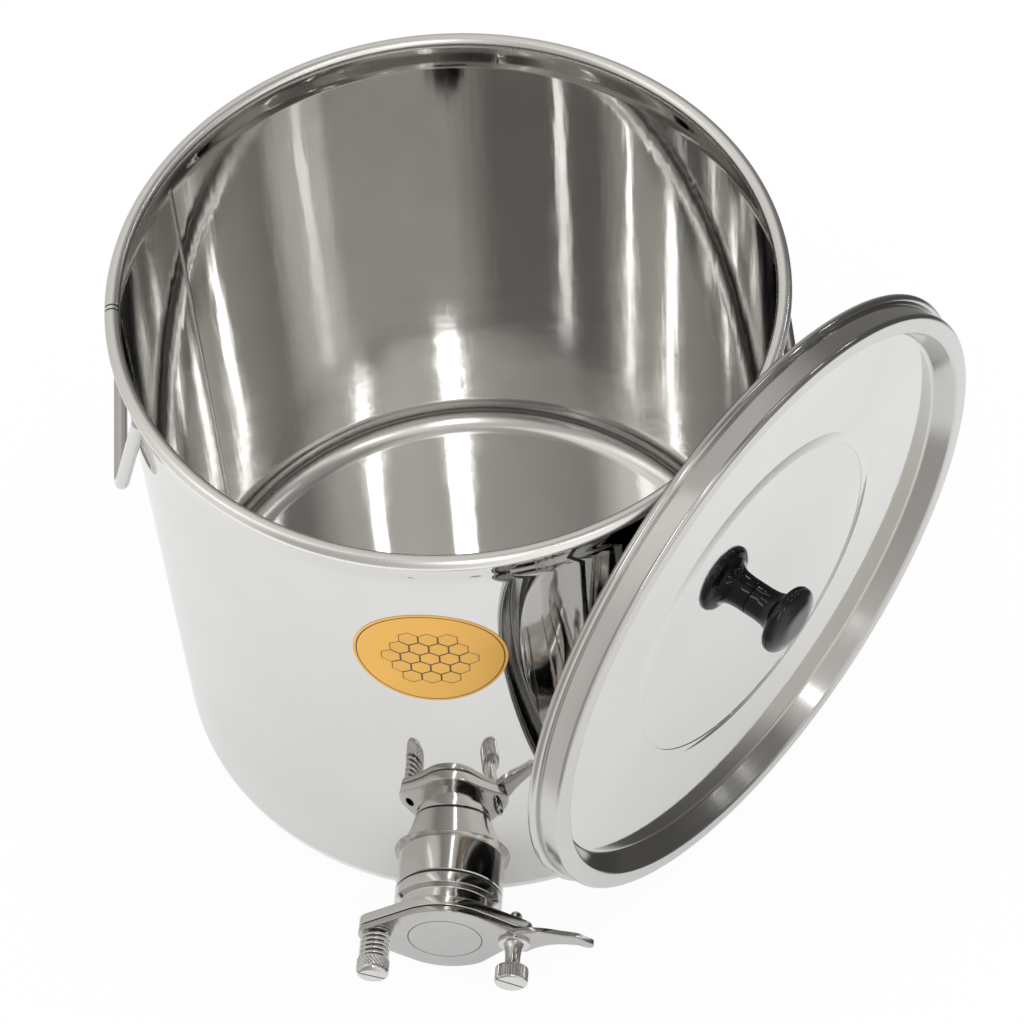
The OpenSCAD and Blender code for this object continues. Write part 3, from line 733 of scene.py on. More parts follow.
def moulded(name, tint, rough_low, rough_high, coat, scale, depth, specular=0.5):
    """Plastic, rubber or silicone with a fine moulded grain."""
    material, tree, shader = blank(name)
    place = object_place(tree)
    cells = grain(tree, place, scale, 3)
    cloud = grain(tree, place, 40, 4)
    paler = [c * 1.5 + 0.002 for c in tint]
    paint(tree, shader, blend(tree, spread(tree, cloud, 0.35, 0.7, 0, 1), tint, paler),
          spread(tree, cloud, 0.3, 0.7, rough_low, rough_high))
    shader.inputs["Specular IOR Level"].default_value = specular
    shader.inputs["Coat Weight"].default_value = coat
    shader.inputs["Coat Roughness"].default_value = 0.04
    bump(tree, shader, cells, depth, 0.0002)
    return material


def comb_group():
    """Lines of a six-sided comb and the distance of each cell's middle, in the XZ plane."""
    if "Comb lines" in bpy.data.node_groups:
        return bpy.data.node_groups["Comb lines"]
    tree, given, out = group("Comb lines",
                             [("Centre", "NodeSocketVector", (0, 0, 0)), ("Cell", "NodeSocketFloat", 0.01),
                              ("Line", "NodeSocketFloat", 0.05)],
                             [("Lines", "NodeSocketFloat"), ("Cell Distance", "NodeSocketFloat")])
    away = vector(tree, "SUBTRACT", object_place(tree), given.outputs["Centre"])
    split = tree.nodes.new("ShaderNodeSeparateXYZ")
    tree.links.new(away, split.inputs[0])
    x = calc(tree, "DIVIDE", split.outputs[0], given.outputs["Cell"])
    y = calc(tree, "DIVIDE", split.outputs[2], given.outputs["Cell"])
    tall = sqrt(3)

    def lattice(shift):
        """Place in the nearest cell of one of the comb's two grids, and its squared distance."""
        across = minus(tree, calc(tree, "FLOORED_MODULO", plus(tree, x, 0.5 + shift), 1), 0.5)
        along = minus(tree, calc(tree, "FLOORED_MODULO", plus(tree, y, (0.5 + shift) * tall), tall),
                      tall / 2)
        size = plus(tree, times(tree, across, across), times(tree, along, along))
        return across, along, size

    ax, ay, asize = lattice(0)
    bx, by, bsize = lattice(0.5)
    nearer = calc(tree, "LESS_THAN", asize, bsize)
    gx = plus(tree, bx, times(tree, nearer, minus(tree, ax, bx)))
    gy = plus(tree, by, times(tree, nearer, minus(tree, ay, by)))
    px, py = calc(tree, "ABSOLUTE", gx), calc(tree, "ABSOLUTE", gy)
    slant = plus(tree, times(tree, px, 0.5), times(tree, py, tall / 2))
    edge = minus(tree, 0.5, calc(tree, "MAXIMUM", slant, px))
    tree.links.new(calc(tree, "LESS_THAN", edge, given.outputs["Line"]), out.inputs["Lines"])
    cx, cy = minus(tree, x, gx), minus(tree, y, gy)
    middle = calc(tree, "SQRT", plus(tree, times(tree, cx, cx), times(tree, cy, cy)))
    tree.links.new(middle, out.inputs["Cell Distance"])
    return tree


def label_print(name):
    """Printed paper label: warm ground, a thin ring and a patch of comb."""
    look = settings().finish
    material, tree, shader = blank(name)
    centre = (0, 0, look.label_height)
    comb = use(tree, comb_group(), {"Centre": centre, "Cell": 0.0105, "Line": 0.045})
    away = vector(tree, "MULTIPLY", vector(tree, "SUBTRACT", object_place(tree), centre), (1, 0, 1))
    reach = vector(tree, "LENGTH", away)
    ring = calc(tree, "COMPARE", reach, look.label_radius * 0.955, 0.00035)
    patch = calc(tree, "LESS_THAN", comb.outputs["Cell Distance"], 2.1)
    ink = calc(tree, "MAXIMUM", ring, times(tree, comb.outputs["Lines"], patch))
    fibre = grain(tree, object_place(tree), 900, 3)
    cloud = spread(tree, grain(tree, object_place(tree), 30, 4), 0.3, 0.7, 0, 1)
    ground = blend(tree, times(tree, cloud, 0.5), look.label, [c * 0.86 for c in look.label])
    warm = blend(tree, times(tree, times(tree, patch, 0.35), cloud), ground,
                 [c * 0.8 for c in look.label])
    paint(tree, shader, blend(tree, ink, warm, look.ink), spread(tree, fibre, 0.3, 0.7, 0.32, 0.46))
    bump(tree, shader, fibre, 0.08, 0.0002)
    return material


# Pieces

def around(turn):
    """Turns a shape that points to the gate to another direction around the tank."""
    return Matrix.Rotation(turn, 4, "Z")


def gate_frame(across=0.0, start=0.0):
    """The outlet's frame: Z runs outwards along the outlet axis."""
    place = Matrix.Translation((across, -start, settings().gate.height))
    return place @ Matrix.Rotation(radians(90), 4, "X")


def lid_frame():
    """The lid's frame: Z runs out of the panel, from the plane of the lid's edge."""
    lid = settings().lid
    stand = lid.radius + lid.bead - lid.sheet + lid.bead
    return (around(lid.turn) @ Matrix.Translation((lid.shift, -lid.distance, stand))
            @ Matrix.Rotation(radians(90) - lid.lean, 4, "X"))


def gate_marks():
    """Distances along the outlet from the tank's axis."""
    gate = settings().gate
    marks = {"collar": gate.pipe_end + gate.ring}
    marks["chamfer"] = marks["collar"] + gate.collar
    marks["neck"] = marks["chamfer"] + gate.chamfer
    marks["flange"] = marks["neck"] + gate.neck_length
    marks["face"] = marks["flange"] + gate.flange
    marks["plate"] = marks["face"] + gate.gap
    marks["front"] = marks["plate"] + gate.plate
    marks["pivot_head"] = marks["front"] + gate.pivot_gap
    marks["washer"] = marks["front"] + gate.washer_thick
    marks["thumb_head"] = marks["washer"] + gate.thumb_neck_length
    return marks


class TankShell(bpy.types.Operator):
    """Wall, floor, rim and weld seam of the pot"""
    bl_idname = "settling_tank.shell"
    bl_label = "Pot"

    def execute(self, context):
        tank = settings().tank
        self.wall(tank)
        self.floor(tank)
        self.rim(tank)
        self.seam(tank)
        return {"FINISHED"}

    def wall(self, tank):
        """Rolled wall with a crease under the rim and a hole for the outlet."""
        gate = settings().gate
        crease = tank.height - tank.crease_drop
        inner = tank.radius - tank.sheet
        rows = 40
        outer = [(tank.radius, tank.corner + (crease - tank.corner) * k / rows) for k in range(rows + 1)]
        outer += [(tank.radius + tank.crease_step, crease + tank.crease_step * 3),
                  (tank.radius + tank.crease_step, tank.height - tank.rim)]
        inside = [(r - tank.sheet, h) for r, h in reversed(outer)]
        steel = polished_steel("polished_wall", haze=0.012, stretch=(70, 70, 12), lumps=0.02, scratches=0.2)
        swollen(steel, (0, -tank.radius, gate.height), tank.swell, tank.swell_reach)
        wall = piece("tank_wall_skin", lathe(outer + inside, 288), steel, "tank", "tank_wall")
        drilled(wall, (0, -inner * 0.8, gate.height), (0, -tank.radius * 1.05, gate.height), gate.pipe_bore)
        wall.data.shade_smooth()
        wall.data.set_sharp_from_angle(angle=radians(SHARP_EDGE))
        rough_and_painted_shade = polished_steel("polished_inside", rough=1.6, haze=0.04, stretch=(40, 40, 5), lumps=0.12)
        middle = tank.radius - tank.sheet * 0.6
        second_finish(wall, rough_and_painted_shade, lambda face: hypot(face.center.x, face.center.y) < middle)

    def floor(self, tank):
        """Pressed dish: a flat floor and the rounded corner under the wall."""
        flat_edge = tank.radius - tank.corner
        bend = arc((flat_edge, tank.corner), tank.corner, -pi / 2, 0, 16)
        fillet = arc((flat_edge, tank.corner), tank.corner - tank.sheet, 0, -pi / 2, 16)
        rings = 6
        flat = [(flat_edge * k / rings, 0) for k in range(rings)]
        upper = [(r, tank.sheet) for r, low in reversed(flat)]
        steel = polished_steel("polished_floor", rough=4.0, haze=0.08, stretch=(45, 45, 45), lumps=0.1,
                               tint=1.12)
        shape = lathe(flat + bend + fillet + upper, 288, closed=False)
        dish = piece("tank_floor_dish", shape, steel, "tank", "tank_floor", "floor_corner")
        satin = polished_steel("satin_corner", rough=9.0, haze=0.05, stretch=(90, 90, 90), lumps=0.03,
                               tint=1.3)
        second_finish(dish, satin, lambda face: hypot(face.center.x, face.center.y) > flat_edge)

    def rim(self, tank):
        """Rolled rim with two fine lines at its joint."""
        top = tank.height - tank.rim
        middle = tank.radius + tank.crease_step - tank.sheet / 2
        points, faces = lathe(disc((middle, top), tank.rim, 28), 1440)
        half, line = tank.joint_gap / 2 / middle, tank.joint_line / middle
        sunk = []
        for x, y, z in points:
            turn = atan2(x, -y) - tank.joint_turn
            depth = 1 - tank.joint_depth * max(0, 1 - abs(abs(turn) - half) / line)
            r = hypot(x, y)
            lower = middle + (r - middle) * depth
            sunk.append((x * lower / r, y * lower / r, top + (z - top) * depth))
        steel = polished_steel("satin_rim", rough=13, haze=0.05, stretch=(120, 120, 120), lumps=0.015,
                               tint=1.34)
        self.joint_lines(steel, half, line / 2)
        piece("rim_bead", (sunk, faces), steel, "tank", "rim_front", "rim_right", "rim_back", "rim_left",
              slot="rim_tube")

    def joint_lines(self, material, half, width):
        """Darkens the two lines at the rim's joint."""
        tree = material.node_tree
        shader = tree.nodes["Principled BSDF"]
        split = tree.nodes.new("ShaderNodeSeparateXYZ")
        tree.links.new(object_place(tree), split.inputs[0])
        turn = calc(tree, "ARCTAN2", split.outputs[0], times(tree, split.outputs[1], -1.0))
        off = calc(tree, "ABSOLUTE", minus(tree, turn, settings().tank.joint_turn))
        line = calc(tree, "COMPARE", off, half, width)
        clean = shader.inputs["Base Color"].links[0].from_socket
        dark = (0.05, 0.05, 0.05)
        tree.links.new(blend(tree, line, clean, dark), shader.inputs["Base Color"])

    def seam(self, tank):
        """Ground weld seam, a low uneven strip up the inside of the wall."""
        inner = tank.radius - tank.sheet
        crease = tank.height - tank.crease_drop
        steps, across = 120, 6
        height, uneven, least, gap = 0.00028, 0.00005, 0.00002, 0.00004
        strip = []
        for k in range(steps + 1):
            h = tank.corner + (crease - tank.corner) * k / steps
            for j in range(across + 1):
                off = j / across - 0.5
                lift = height * (1 - (2 * off) ** 4) + uneven * noise.noise((h * 260, off * 3, 0.5))
                turn = tank.seam_turn + off * tank.seam / inner
                r = inner - gap - max(lift, least)
                strip.append((r * sin(turn), -r * cos(turn), h))
        faces = quads(steps + 1, across + 1, ring=False)
        piece("wall_seam_bead", (strip, faces), turned_steel("ground_seam", (0, 0, 0)), "tank", "wall_seam")


class TankHandles(bpy.types.Operator):
    """Two rod handles welded to the wall"""
    bl_idname = "settling_tank.handles"
    bl_label = "Handles"

    def execute(self, context):
        tank = settings().tank
        sweep = pi / 2 - tank.handle_splay
        half = [(tank.handle_half * k / 8, 0) for k in range(8)]
        half += arc((tank.handle_half, tank.handle_bend), tank.handle_bend, -pi / 2, -pi / 2 + sweep, 10)
        x, z = half[-1]
        rows = 14
        half += [(x + sin(tank.handle_splay) * tank.handle_leg * k / rows,
                  z + cos(tank.handle_splay) * tank.handle_leg * k / rows) for k in range(1, rows + 1)]
        path = [(-a, 0, b) for a, b in reversed(half[1:])] + [(a, 0, b) for a, b in half]
        bow = Matrix.Translation((0, -tank.handle_reach, tank.handle_height))
        bow = bow @ Matrix.Rotation(-tank.handle_lean, 4, "X")
        steel = polished_steel("polished_rod", rough=2.5, haze=0.04, stretch=(200, 200, 200), lumps=0.05)
        middle = tank.radius - tank.sheet / 2
        for side, turn in (("left", tank.handle_turn), ("right", tank.handle_turn + pi)):
            points, faces = moved(tube(path, tank.rod, 24), around(turn) @ bow)
            out = [max(1, middle / hypot(x, y)) for x, y, z in points]
            points = [(x * k, y * k, z) for (x, y, z), k in zip(points, out)]
            piece("handle_rod_" + side, (points, faces), steel, "tank", "handle_" + side)
        return {"FINISHED"}


def at_wall(r, turn):
    """Distance of the wall from the tank's axis at a point around the pipe."""
    tank = settings().tank
    inner = tank.radius - tank.sheet * 0.4
    return sqrt(inner ** 2 - (r * cos(turn)) ** 2)


def straight(r, out):
    """A row around the outlet's axis at one radius and distance."""
    return lambda turn: (r, out)


def along_wall(r):
    """A row around the outlet's axis at one radius that follows the wall."""
    return lambda turn: (r, at_wall(r, turn))


def around_outlet(rows, steps=144):
    """Rings around the outlet's axis; each row gives radius and distance for a turn."""
    height = settings().gate.height
    points = []
    for row in rows:
        for k in range(steps):
            turn = 2 * pi * k / steps
            r, out = row(turn)
            points.append((r * cos(turn), -out, height + r * sin(turn)))
    return points, quads(len(rows), steps)


class OutletPipe(bpy.types.Operator):
    """Stub pipe, its weld and the dark ring behind the gate"""
    bl_idname = "settling_tank.outlet"
    bl_label = "Outlet pipe"

    def execute(self, context):
        gate = settings().gate
        self.pipe(gate)
        self.weld(gate)
        self.ring(gate)
        return {"FINISHED"}

    def pipe(self, gate):
        """Stub pipe from the wall to the end of its spigot."""
        edge = 0.0005
        end = gate.pipe_end
        tip = end + gate.spigot_length
        rows = [along_wall(gate.pipe_bore), straight(gate.pipe_bore, end), straight(gate.pipe_bore, tip),
                straight(gate.spigot, tip), straight(gate.spigot, end), straight(gate.pipe - edge, end),
                straight(gate.pipe, end - edge), along_wall(gate.pipe)]
        steel = turned_steel("turned_pipe", (0, 0, gate.height), rough=0.5, tint=1.1, depth=0.0,
                             density=1200.0)
        piece("outlet_pipe", around_outlet(rows), steel, "tank", "outlet_stub")

    def weld(self, gate):
        """Uneven weld bead between the wall and the pipe."""
        count = 9
        beads = around_outlet([self.bead(gate, k / count) for k in range(count + 1)])
        piece("outlet_weld_bead", beads, weld_metal("weld_bead"), "tank", "outlet_weld", sharp=60)

    def bead(self, gate, share):
        """A row of the weld, from the wall at share 0 to the pipe at share 1."""
        ripples, ripple_height, lump_height, crown, sunk = 58, 0.00012, 0.0003, 0.0004, 0.0012
        on_pipe = settings().tank.radius - sunk

        def row(a):
            """Radius and distance of the row for a turn."""
            ripple = ripple_height * sin(a * ripples + 2 * noise.noise((cos(a) * 4, sin(a) * 4, 0)))
            lump = lump_height * noise.noise((cos(a) * 7, sin(a) * 7, share * 2))
            bulge = sin(pi * share)
            r = gate.pipe + (gate.weld + lump) * (1 - share) + (ripple + lump) * bulge
            rise = gate.weld_reach * 0.72 * share ** 0.8 + crown * bulge
            return r, at_wall(r, a) * (1 - share ** 2) + share ** 2 * on_pipe + rise

        return row

    def ring(self, gate):
        """Dark ring between the pipe and the collar."""
        ring_edge, ring_round = gate.pipe - 0.0006, 0.0003
        ring = soften([(gate.spigot, 0), (ring_edge, 0), (ring_edge, gate.ring), (gate.spigot, gate.ring)],
                      [0, ring_round, ring_round, 0], 3)
        piece("pipe_ring", moved(lathe(ring, 96), gate_frame(start=gate.pipe_end)),
              moulded("dark_ring", settings().finish.rubber, 0.4, 0.6, 0, 1500, 0.1), "tank", "stub_seal")


def lozenge():
    """Outline of flange and plate, counter-clockwise from the right ear."""
    gate = settings().gate
    lean = asin((gate.lobe - gate.ear) / gate.ear_reach)
    right = arc((gate.ear_reach, 0), gate.ear, -pi / 2 + lean, pi / 2 - lean, 20)
    top = arc((0, 0), gate.lobe, pi / 2 - lean, pi / 2 + lean, 24)
    left = arc((-gate.ear_reach, 0), gate.ear, pi / 2 + lean, 3 * pi / 2 - lean, 20)
    bottom = arc((0, 0), gate.lobe, -pi / 2 - lean, -pi / 2 + lean, 24)
    return right, top, left, bottom


class GateBody(bpy.types.Operator):
    """Collar, neck and flange of the gate with its seal"""
    bl_idname = "settling_tank.gate_body"
    bl_label = "Gate body"

    def execute(self, context):
        gate, marks = settings().gate, gate_marks()
        edge = 0.0004
        reach = marks["flange"] - marks["collar"]
        seat = gate.spigot_length - gate.ring
        profile = soften([(gate.spigot, 0), (gate.pipe, 0), (gate.pipe, gate.collar),
                          (gate.neck, gate.collar + gate.chamfer), (gate.neck, reach), (gate.bore, reach),
                          (gate.bore, seat), (gate.spigot, seat)], [0, edge, edge, edge * 2, 0, 0, 0, 0], 4)
        collar = moved(lathe(profile, 144), gate_frame(start=marks["collar"]))
        outline = [p for part in lozenge() for p in part]
        holes = [disc((0, 0), gate.bore, 96), disc((gate.ear_reach, 0), gate.clamp_hole)]
        flange = sheet_metal("flange", [outline, *holes], gate.flange - gate.set_back, PLATE_BEVEL,
                             gate_frame(start=marks["flange"]))
        steel = turned_steel("turned_gate", (0, 0, gate.height), rough=0.6, tint=1.2, depth=0.0,
                             density=1200.0)
        piece("gate_body_turned", joined(collar, flange), steel, "tank", "gate_body")
        inner, outer, thick = gate.seal_bore, gate.seal_edge, gate.seal
        band = soften([(inner, 0), (outer, 0), (outer, thick), (inner, thick)], [0, 0, edge, edge], 3)
        piece("gate_seal_ring", moved(lathe(band, 96), gate_frame(start=marks["plate"] - gate.seal)),
              moulded("pale_seal", settings().finish.silicone, 0.4, 0.6, 0, 1500, 0.1), "tank", "gate_seal")
        return {"FINISHED"}


class GatePlate(bpy.types.Operator):
    """Swinging plate with its lever"""
    bl_idname = "settling_tank.gate_plate"
    bl_label = "Gate plate"

    def execute(self, context):
        gate, marks = settings().gate, gate_marks()
        top, left, bottom = lozenge()[1:]
        pivot = (-gate.ear_reach, 0)
        tip_round, tip_drop = 0.003, 0.001
        tip = arc((gate.lever - tip_round, -tip_drop), tip_round, -pi * 0.62, pi * 0.45, 8)
        near, far = 2 * gate.ear_reach - gate.plate_slot, 2 * gate.ear_reach + gate.plate_slot
        slot = arc(pivot, near, asin(-gate.slot_mouth_inside / near), 0, 6)
        slot += arc((gate.ear_reach, 0), gate.plate_slot, pi, 0, 12)
        slot += arc(pivot, far, 0, asin(-gate.slot_mouth / far), 6)
        outline = [*LEVER_LOWER, *tip, *LEVER_UPPER, *top, *left, *bottom, *slot]
        close = 2e-5
        outline = [p for i, p in enumerate(outline)
                   if hypot(p[0] - outline[i - 1][0], p[1] - outline[i - 1][1]) > close]
        play = 0.00005
        plate = sheet_metal("plate", [outline, disc(pivot, gate.pivot + play)], gate.plate, PLATE_BEVEL,
                            gate_frame(start=marks["plate"]))
        piece("gate_plate_cut", plate, gate_plate_steel("plate_steel"), "gate", "gate_plate")
        return {"FINISHED"}


def gate_plate_steel(name):
    """Polished plate with a fine ring line around its middle."""
    gate, look = settings().gate, settings().finish
    material, tree, shader, surface = bare_steel(name, look.plate, look.satin_rough * 0.7, 0.06,
                                                 (400, 400, 25), 1.0)
    away = vector(tree, "SUBTRACT", object_place(tree), (0, 0, gate.height))
    reach = vector(tree, "LENGTH", vector(tree, "MULTIPLY", away, (1, 0, 1)))
    ring = calc(tree, "COMPARE", reach, gate.ring_line, 0.0003)
    dark = (0.12, 0.12, 0.12)
    paint(tree, shader, blend(tree, ring, surface["Colour"], dark),
          plus(tree, surface["Roughness"], times(tree, ring, 0.3)))
    bump(tree, shader, minus(tree, times(tree, surface["Height"], 0.2), ring), 0.3, 0.0003)
    return material


def knurled(profile, low, high, ridges, cross=0.0, depth=0.0009):
    """A screw head turned from (radius, height) pairs; the heights from low to high are knurled.

    The knurl has straight ridges, or crossed ones with the given pitch along the axis.
    """
    count = ridges * 6
    points = []
    for r, z in profile:
        for k in range(count):
            a = 2 * pi * k / count
            wave = cos(ridges * a) * (cos(2 * pi * (z - low) / cross) if cross else 1)
            cut = depth * (0.5 - 0.5 * wave) if low <= z <= high else 0
            points.append(((r - cut) * cos(a), (r - cut) * sin(a), z))
    return points, capped(len(profile), count)


def head_profile(root, shoulder, radius, size, front, rows):
    """Side line of a screw head: a shoulder at the back, a straight band and a rounded front."""
    quarter = pi / 2
    back = [(root + (radius - root) * sin(quarter * k / 6), shoulder * (1 - cos(quarter * k / 6)))
            for k in range(7)]
    band = [(radius, shoulder + (size - front - shoulder) * k / rows) for k in range(1, rows)]
    return back + band + arc((radius - front, size - front), front, 0, quarter, 8)


class PivotScrew(bpy.types.Operator):
    """Pivot screw with its spring"""
    bl_idname = "settling_tank.pivot"
    bl_label = "Pivot screw and spring"

    def execute(self, context):
        gate, marks = settings().gate, gate_marks()
        x = -gate.ear_reach
        reach = marks["pivot_head"] - marks["flange"]
        shaft = [(0, 0), (gate.pivot_thread, 0), (gate.pivot_thread, gate.flange), (gate.pivot, gate.flange),
                 (gate.pivot, reach), (0, reach)]
        head = gate_frame(x, marks["pivot_head"])
        size = gate.pivot_head_length
        shoulder, front, knurl_back, knurl_front, pitch = 0.0008, 0.0032, 0.0012, 0.0034, 0.0024
        side = head_profile(gate.pivot_head - shoulder, shoulder, gate.pivot_head, size, front, 26)
        knurl = knurled(side, knurl_back, size - knurl_front, 24, cross=pitch)
        rod = moved(lathe(shaft, 48, closed=False), gate_frame(x, marks["flange"]))
        shape = joined(rod, moved(knurl, head))
        steel = turned_steel("turned_pivot", (x, 0, gate.height), rough=0.6, tint=1.15)
        screw = piece("pivot_screw_turned", shape, steel, "tank", "pivot_screw", sharp=40)
        turned = head @ Matrix.Rotation(gate.pivot_slot, 4, "Z")
        slotted(screw, turned, gate.pivot_head, size, gate.slot, gate.slot_depth)
        # The shaft under the head is rougher steel, and its colour is darkened to 0.35 as painted shade
        # inside the spring
        rough_and_painted_shade = turned_steel("painted_shade_shaft", (x, 0, gate.height), rough=1.5, tint=0.35)
        head_back = marks["pivot_head"] - 0.0001
        second_finish(screw, rough_and_painted_shade, lambda face: -face.center.y < head_back)
        self.spring(gate, x, marks["front"] + gate.coil_gap + gate.wire, marks["pivot_head"] - gate.wire)
        return {"FINISHED"}

    def spring(self, gate, x, start, end):
        """Coil spring around the pivot, between the plate and the head."""
        steps = int(gate.turns * 32)
        coil = arc((0, 0), gate.coil, 0, 2 * pi * gate.turns, steps)
        path = [(a, b, (end - start) * k / steps) for k, (a, b) in enumerate(coil)]
        steel = polished_steel("spring_wire", rough=6, haze=0.03, stretch=(300, 300, 300), lumps=0.03)
        piece("pivot_spring_wire", moved(tube(path, gate.wire, 14), gate_frame(x, start)), steel, "tank",
              "pivot_spring")


class ClampScrew(bpy.types.Operator):
    """Clamp washer and thumb screw"""
    bl_idname = "settling_tank.clamp"
    bl_label = "Clamp screw"

    def execute(self, context):
        gate, marks = settings().gate, gate_marks()
        x = gate.ear_reach
        hole, thick = gate.clamp_hole, gate.washer_thick
        rounds = [0, 0.0003, 0.0005, 0]
        ring = soften([(hole, 0), (gate.washer, 0), (gate.washer, thick), (hole, thick)], rounds, 3)
        steel = turned_steel("turned_washer", (x, 0, gate.height), rough=0.8, tint=1.2)
        piece("clamp_washer_turned", moved(lathe(ring, 72), gate_frame(x, marks["front"])), steel, "clamp",
              "clamp_washer")
        tail = marks["flange"] - gate.thumb_tail
        end = arc((0, 0), gate.thumb_thread, -pi / 2, 0, 8)
        foot, crown = marks["washer"] - tail, marks["thumb_head"] - tail
        neck = [(gate.thumb_neck * wide, foot + (crown - foot) * along) for along, wide in NECK_FLARE]
        shaft = end + [(gate.thumb_thread, foot)] + neck + [(0, crown)]
        head = gate_frame(x, marks["thumb_head"])
        size = gate.thumb_head_length
        edge, knurl_back, knurl_front, knurl_depth = 0.0014, 0.0003, 0.0013, 0.0012
        side = head_profile(neck[-1][0], edge, gate.thumb_head, size, edge, 12)
        knurl = knurled(side, knurl_back, size - knurl_front, 36, depth=knurl_depth)
        shape = joined(moved(lathe(shaft, 48, closed=False), gate_frame(x, tail)), moved(knurl, head))
        steel = turned_steel("turned_thumb", (x, 0, gate.height), rough=0.6, tint=1.2)
        screw = piece("thumb_screw_turned", shape, steel, "screw", "thumb_screw", sharp=40)
        turned = head @ Matrix.Rotation(gate.thumb_slot, 4, "Z")
        slotted(screw, turned, gate.thumb_head, size, gate.slot, gate.slot_depth)
        return {"FINISHED"}


class LeaningLid(bpy.types.Operator):
    """Pressed lid with a rolled edge"""
    bl_idname = "settling_tank.lid"
    bl_label = "Lid"

    def execute(self, context):
        lid = settings().lid
        ridge_in = lid.radius - lid.ridge_round - lid.ridge_width
        panel_edge = ridge_in - lid.slope
        bead = disc((lid.radius + lid.bead - lid.sheet, 0), lid.bead, 24)
        pan = self.pan(lid, ridge_in, panel_edge)
        shape = joined(lathe(pan, 288, closed=False), lathe(bead, 288))
        place = lid_frame()
        steel = polished_steel("polished_lid", rough=2, haze=0.02, stretch=(35, 35, 35), lumps=0.04)
        pressed = piece("lid_pan_pressed", moved(shape, place), steel, "lid", "lid_pan")
        self.finishes(lid, pressed, place, panel_edge)
        return {"FINISHED"}

    def pan(self, lid, ridge_in, panel_edge):
        """Side line of the pressed sheet: from the middle over the ridge to the skirt, and back."""
        sheet = lid.sheet
        top = lid.panel + lid.step_height
        step_in, step_out = lid.step - lid.step_width / 2, lid.step + lid.step_width / 2
        upper = [(step_in, top), (step_out, lid.panel), (panel_edge, lid.panel), (ridge_in, lid.ridge),
                 (lid.radius, lid.ridge), (lid.radius, 0)]
        under = [(lid.radius - sheet, 0), (lid.radius - sheet, lid.ridge - sheet),
                 (ridge_in + sheet / 2, lid.ridge - sheet), (panel_edge + sheet / 2, lid.panel - sheet),
                 (step_out, lid.panel - sheet), (step_in, top - sheet)]
        upper_rounds = [0.003, 0.003, 0.0025, 0.002, lid.ridge_round, 0]
        under_rounds = [0, lid.ridge_round - sheet / 2, 0.0015, 0.003, 0.005, 0.005]
        rings = 5
        line = [(step_in * k / rings, top) for k in range(rings)]
        line += soften(upper + under, upper_rounds + under_rounds, 10)
        line += [(step_in * k / rings, top - sheet) for k in range(rings - 1, -1, -1)]
        return line

    def finishes(self, lid, pressed, place, panel_edge):
        """Brushes the ridge, and gives the underside rougher steel darkened to 0.4 as painted shade under
        the lid.
        """
        middle, axis = place.translation, place.to_3x3() @ Vector((0, 0, 1))

        def reach(face):
            """Distance of a face from the lid's axis."""
            away = face.center - middle
            return (away - axis * away.dot(axis)).length

        def on_ridge(face):
            """Whether a face lies outside the panel."""
            return reach(face) > panel_edge - lid.sheet / 2

        def underneath(face):
            """Whether a face looks into the lid."""
            return face.normal.dot(axis) < -0.3 and reach(face) < lid.radius - lid.sheet

        brushed = turned_steel("brushed_lid", middle, rough=0.6, tint=1.02, axis=axis, density=900.0)
        # Underside: rougher unpolished sheet, its colour darkened to 0.4 as painted shade under the lid
        rough_and_painted_shade = turned_steel("rough_lid_inside_painted_shade", middle, rough=1.6, tint=0.4, axis=axis, density=900.0)
        second_finish(pressed, brushed, on_ridge)
        second_finish(pressed, rough_and_painted_shade, underneath)


class LidKnob(bpy.types.Operator):
    """Black knob with its screw and washer"""
    bl_idname = "settling_tank.knob"
    bl_label = "Knob"

    def execute(self, context):
        lid = settings().lid
        h, cap = lid.knob_height, lid.knob_cap
        outline = [(0, 0), (lid.knob_foot, 0), (lid.knob_waist, h * 0.2), (lid.knob_waist * 1.05, h * 0.42),
                   (cap * 0.66, h * 0.6), (cap, h * 0.66), (cap, h * 0.87), (cap * 0.55, h), (0, h)]
        rounds = [0, 0.0008, 0.012, 0.014, 0.006, 0.0035, 0.006, 0.02, 0]
        place = lid_frame() @ Matrix.Translation((0, 0, lid.panel + lid.step_height))
        gloss = moulded("black_gloss", settings().finish.knob, 0.02, 0.05, 0.4, 700, 0.002, 0.2)
        piece("lid_knob_moulded", moved(lathe(soften(outline, rounds, 10), 96, closed=False), place), gloss,
              "lid", "knob", sharp=50)
        low = -lid.sheet - lid.washer_thick
        back = low - lid.screw_head_height
        side = soften([(0, back), (lid.screw_head, back), (lid.screw_head, low), (lid.screw_thread, low),
                       (lid.screw_thread, lid.screw_depth), (0, lid.screw_depth)],
                      [0, 0.0009, 0, 0, 0.0004, 0], 4)
        screw = piece("knob_screw_pan", moved(lathe(side, 40, closed=False), place),
                      turned_steel("zinc_screw", (0, 0, 0)), "lid", "knob_screw")
        under = place @ Matrix.Rotation(pi, 4, "X") @ Matrix.Translation((0, 0, -low))
        slotted(screw, under, lid.screw_head, lid.screw_head_height, lid.screw_slot, lid.screw_slot)
        hole, face = lid.screw_thread, -lid.sheet
        rounds = [0, 0.0004, 0.0002, 0]
        ring = soften([(hole, low), (lid.washer, low), (lid.washer, face), (hole, face)], rounds, 3)
        piece("knob_washer_disc", moved(lathe(ring, 64), place),
              turned_steel("zinc_washer", (0, 0, 0), rough=0.9), "lid", "knob_washer")
        return {"FINISHED"}


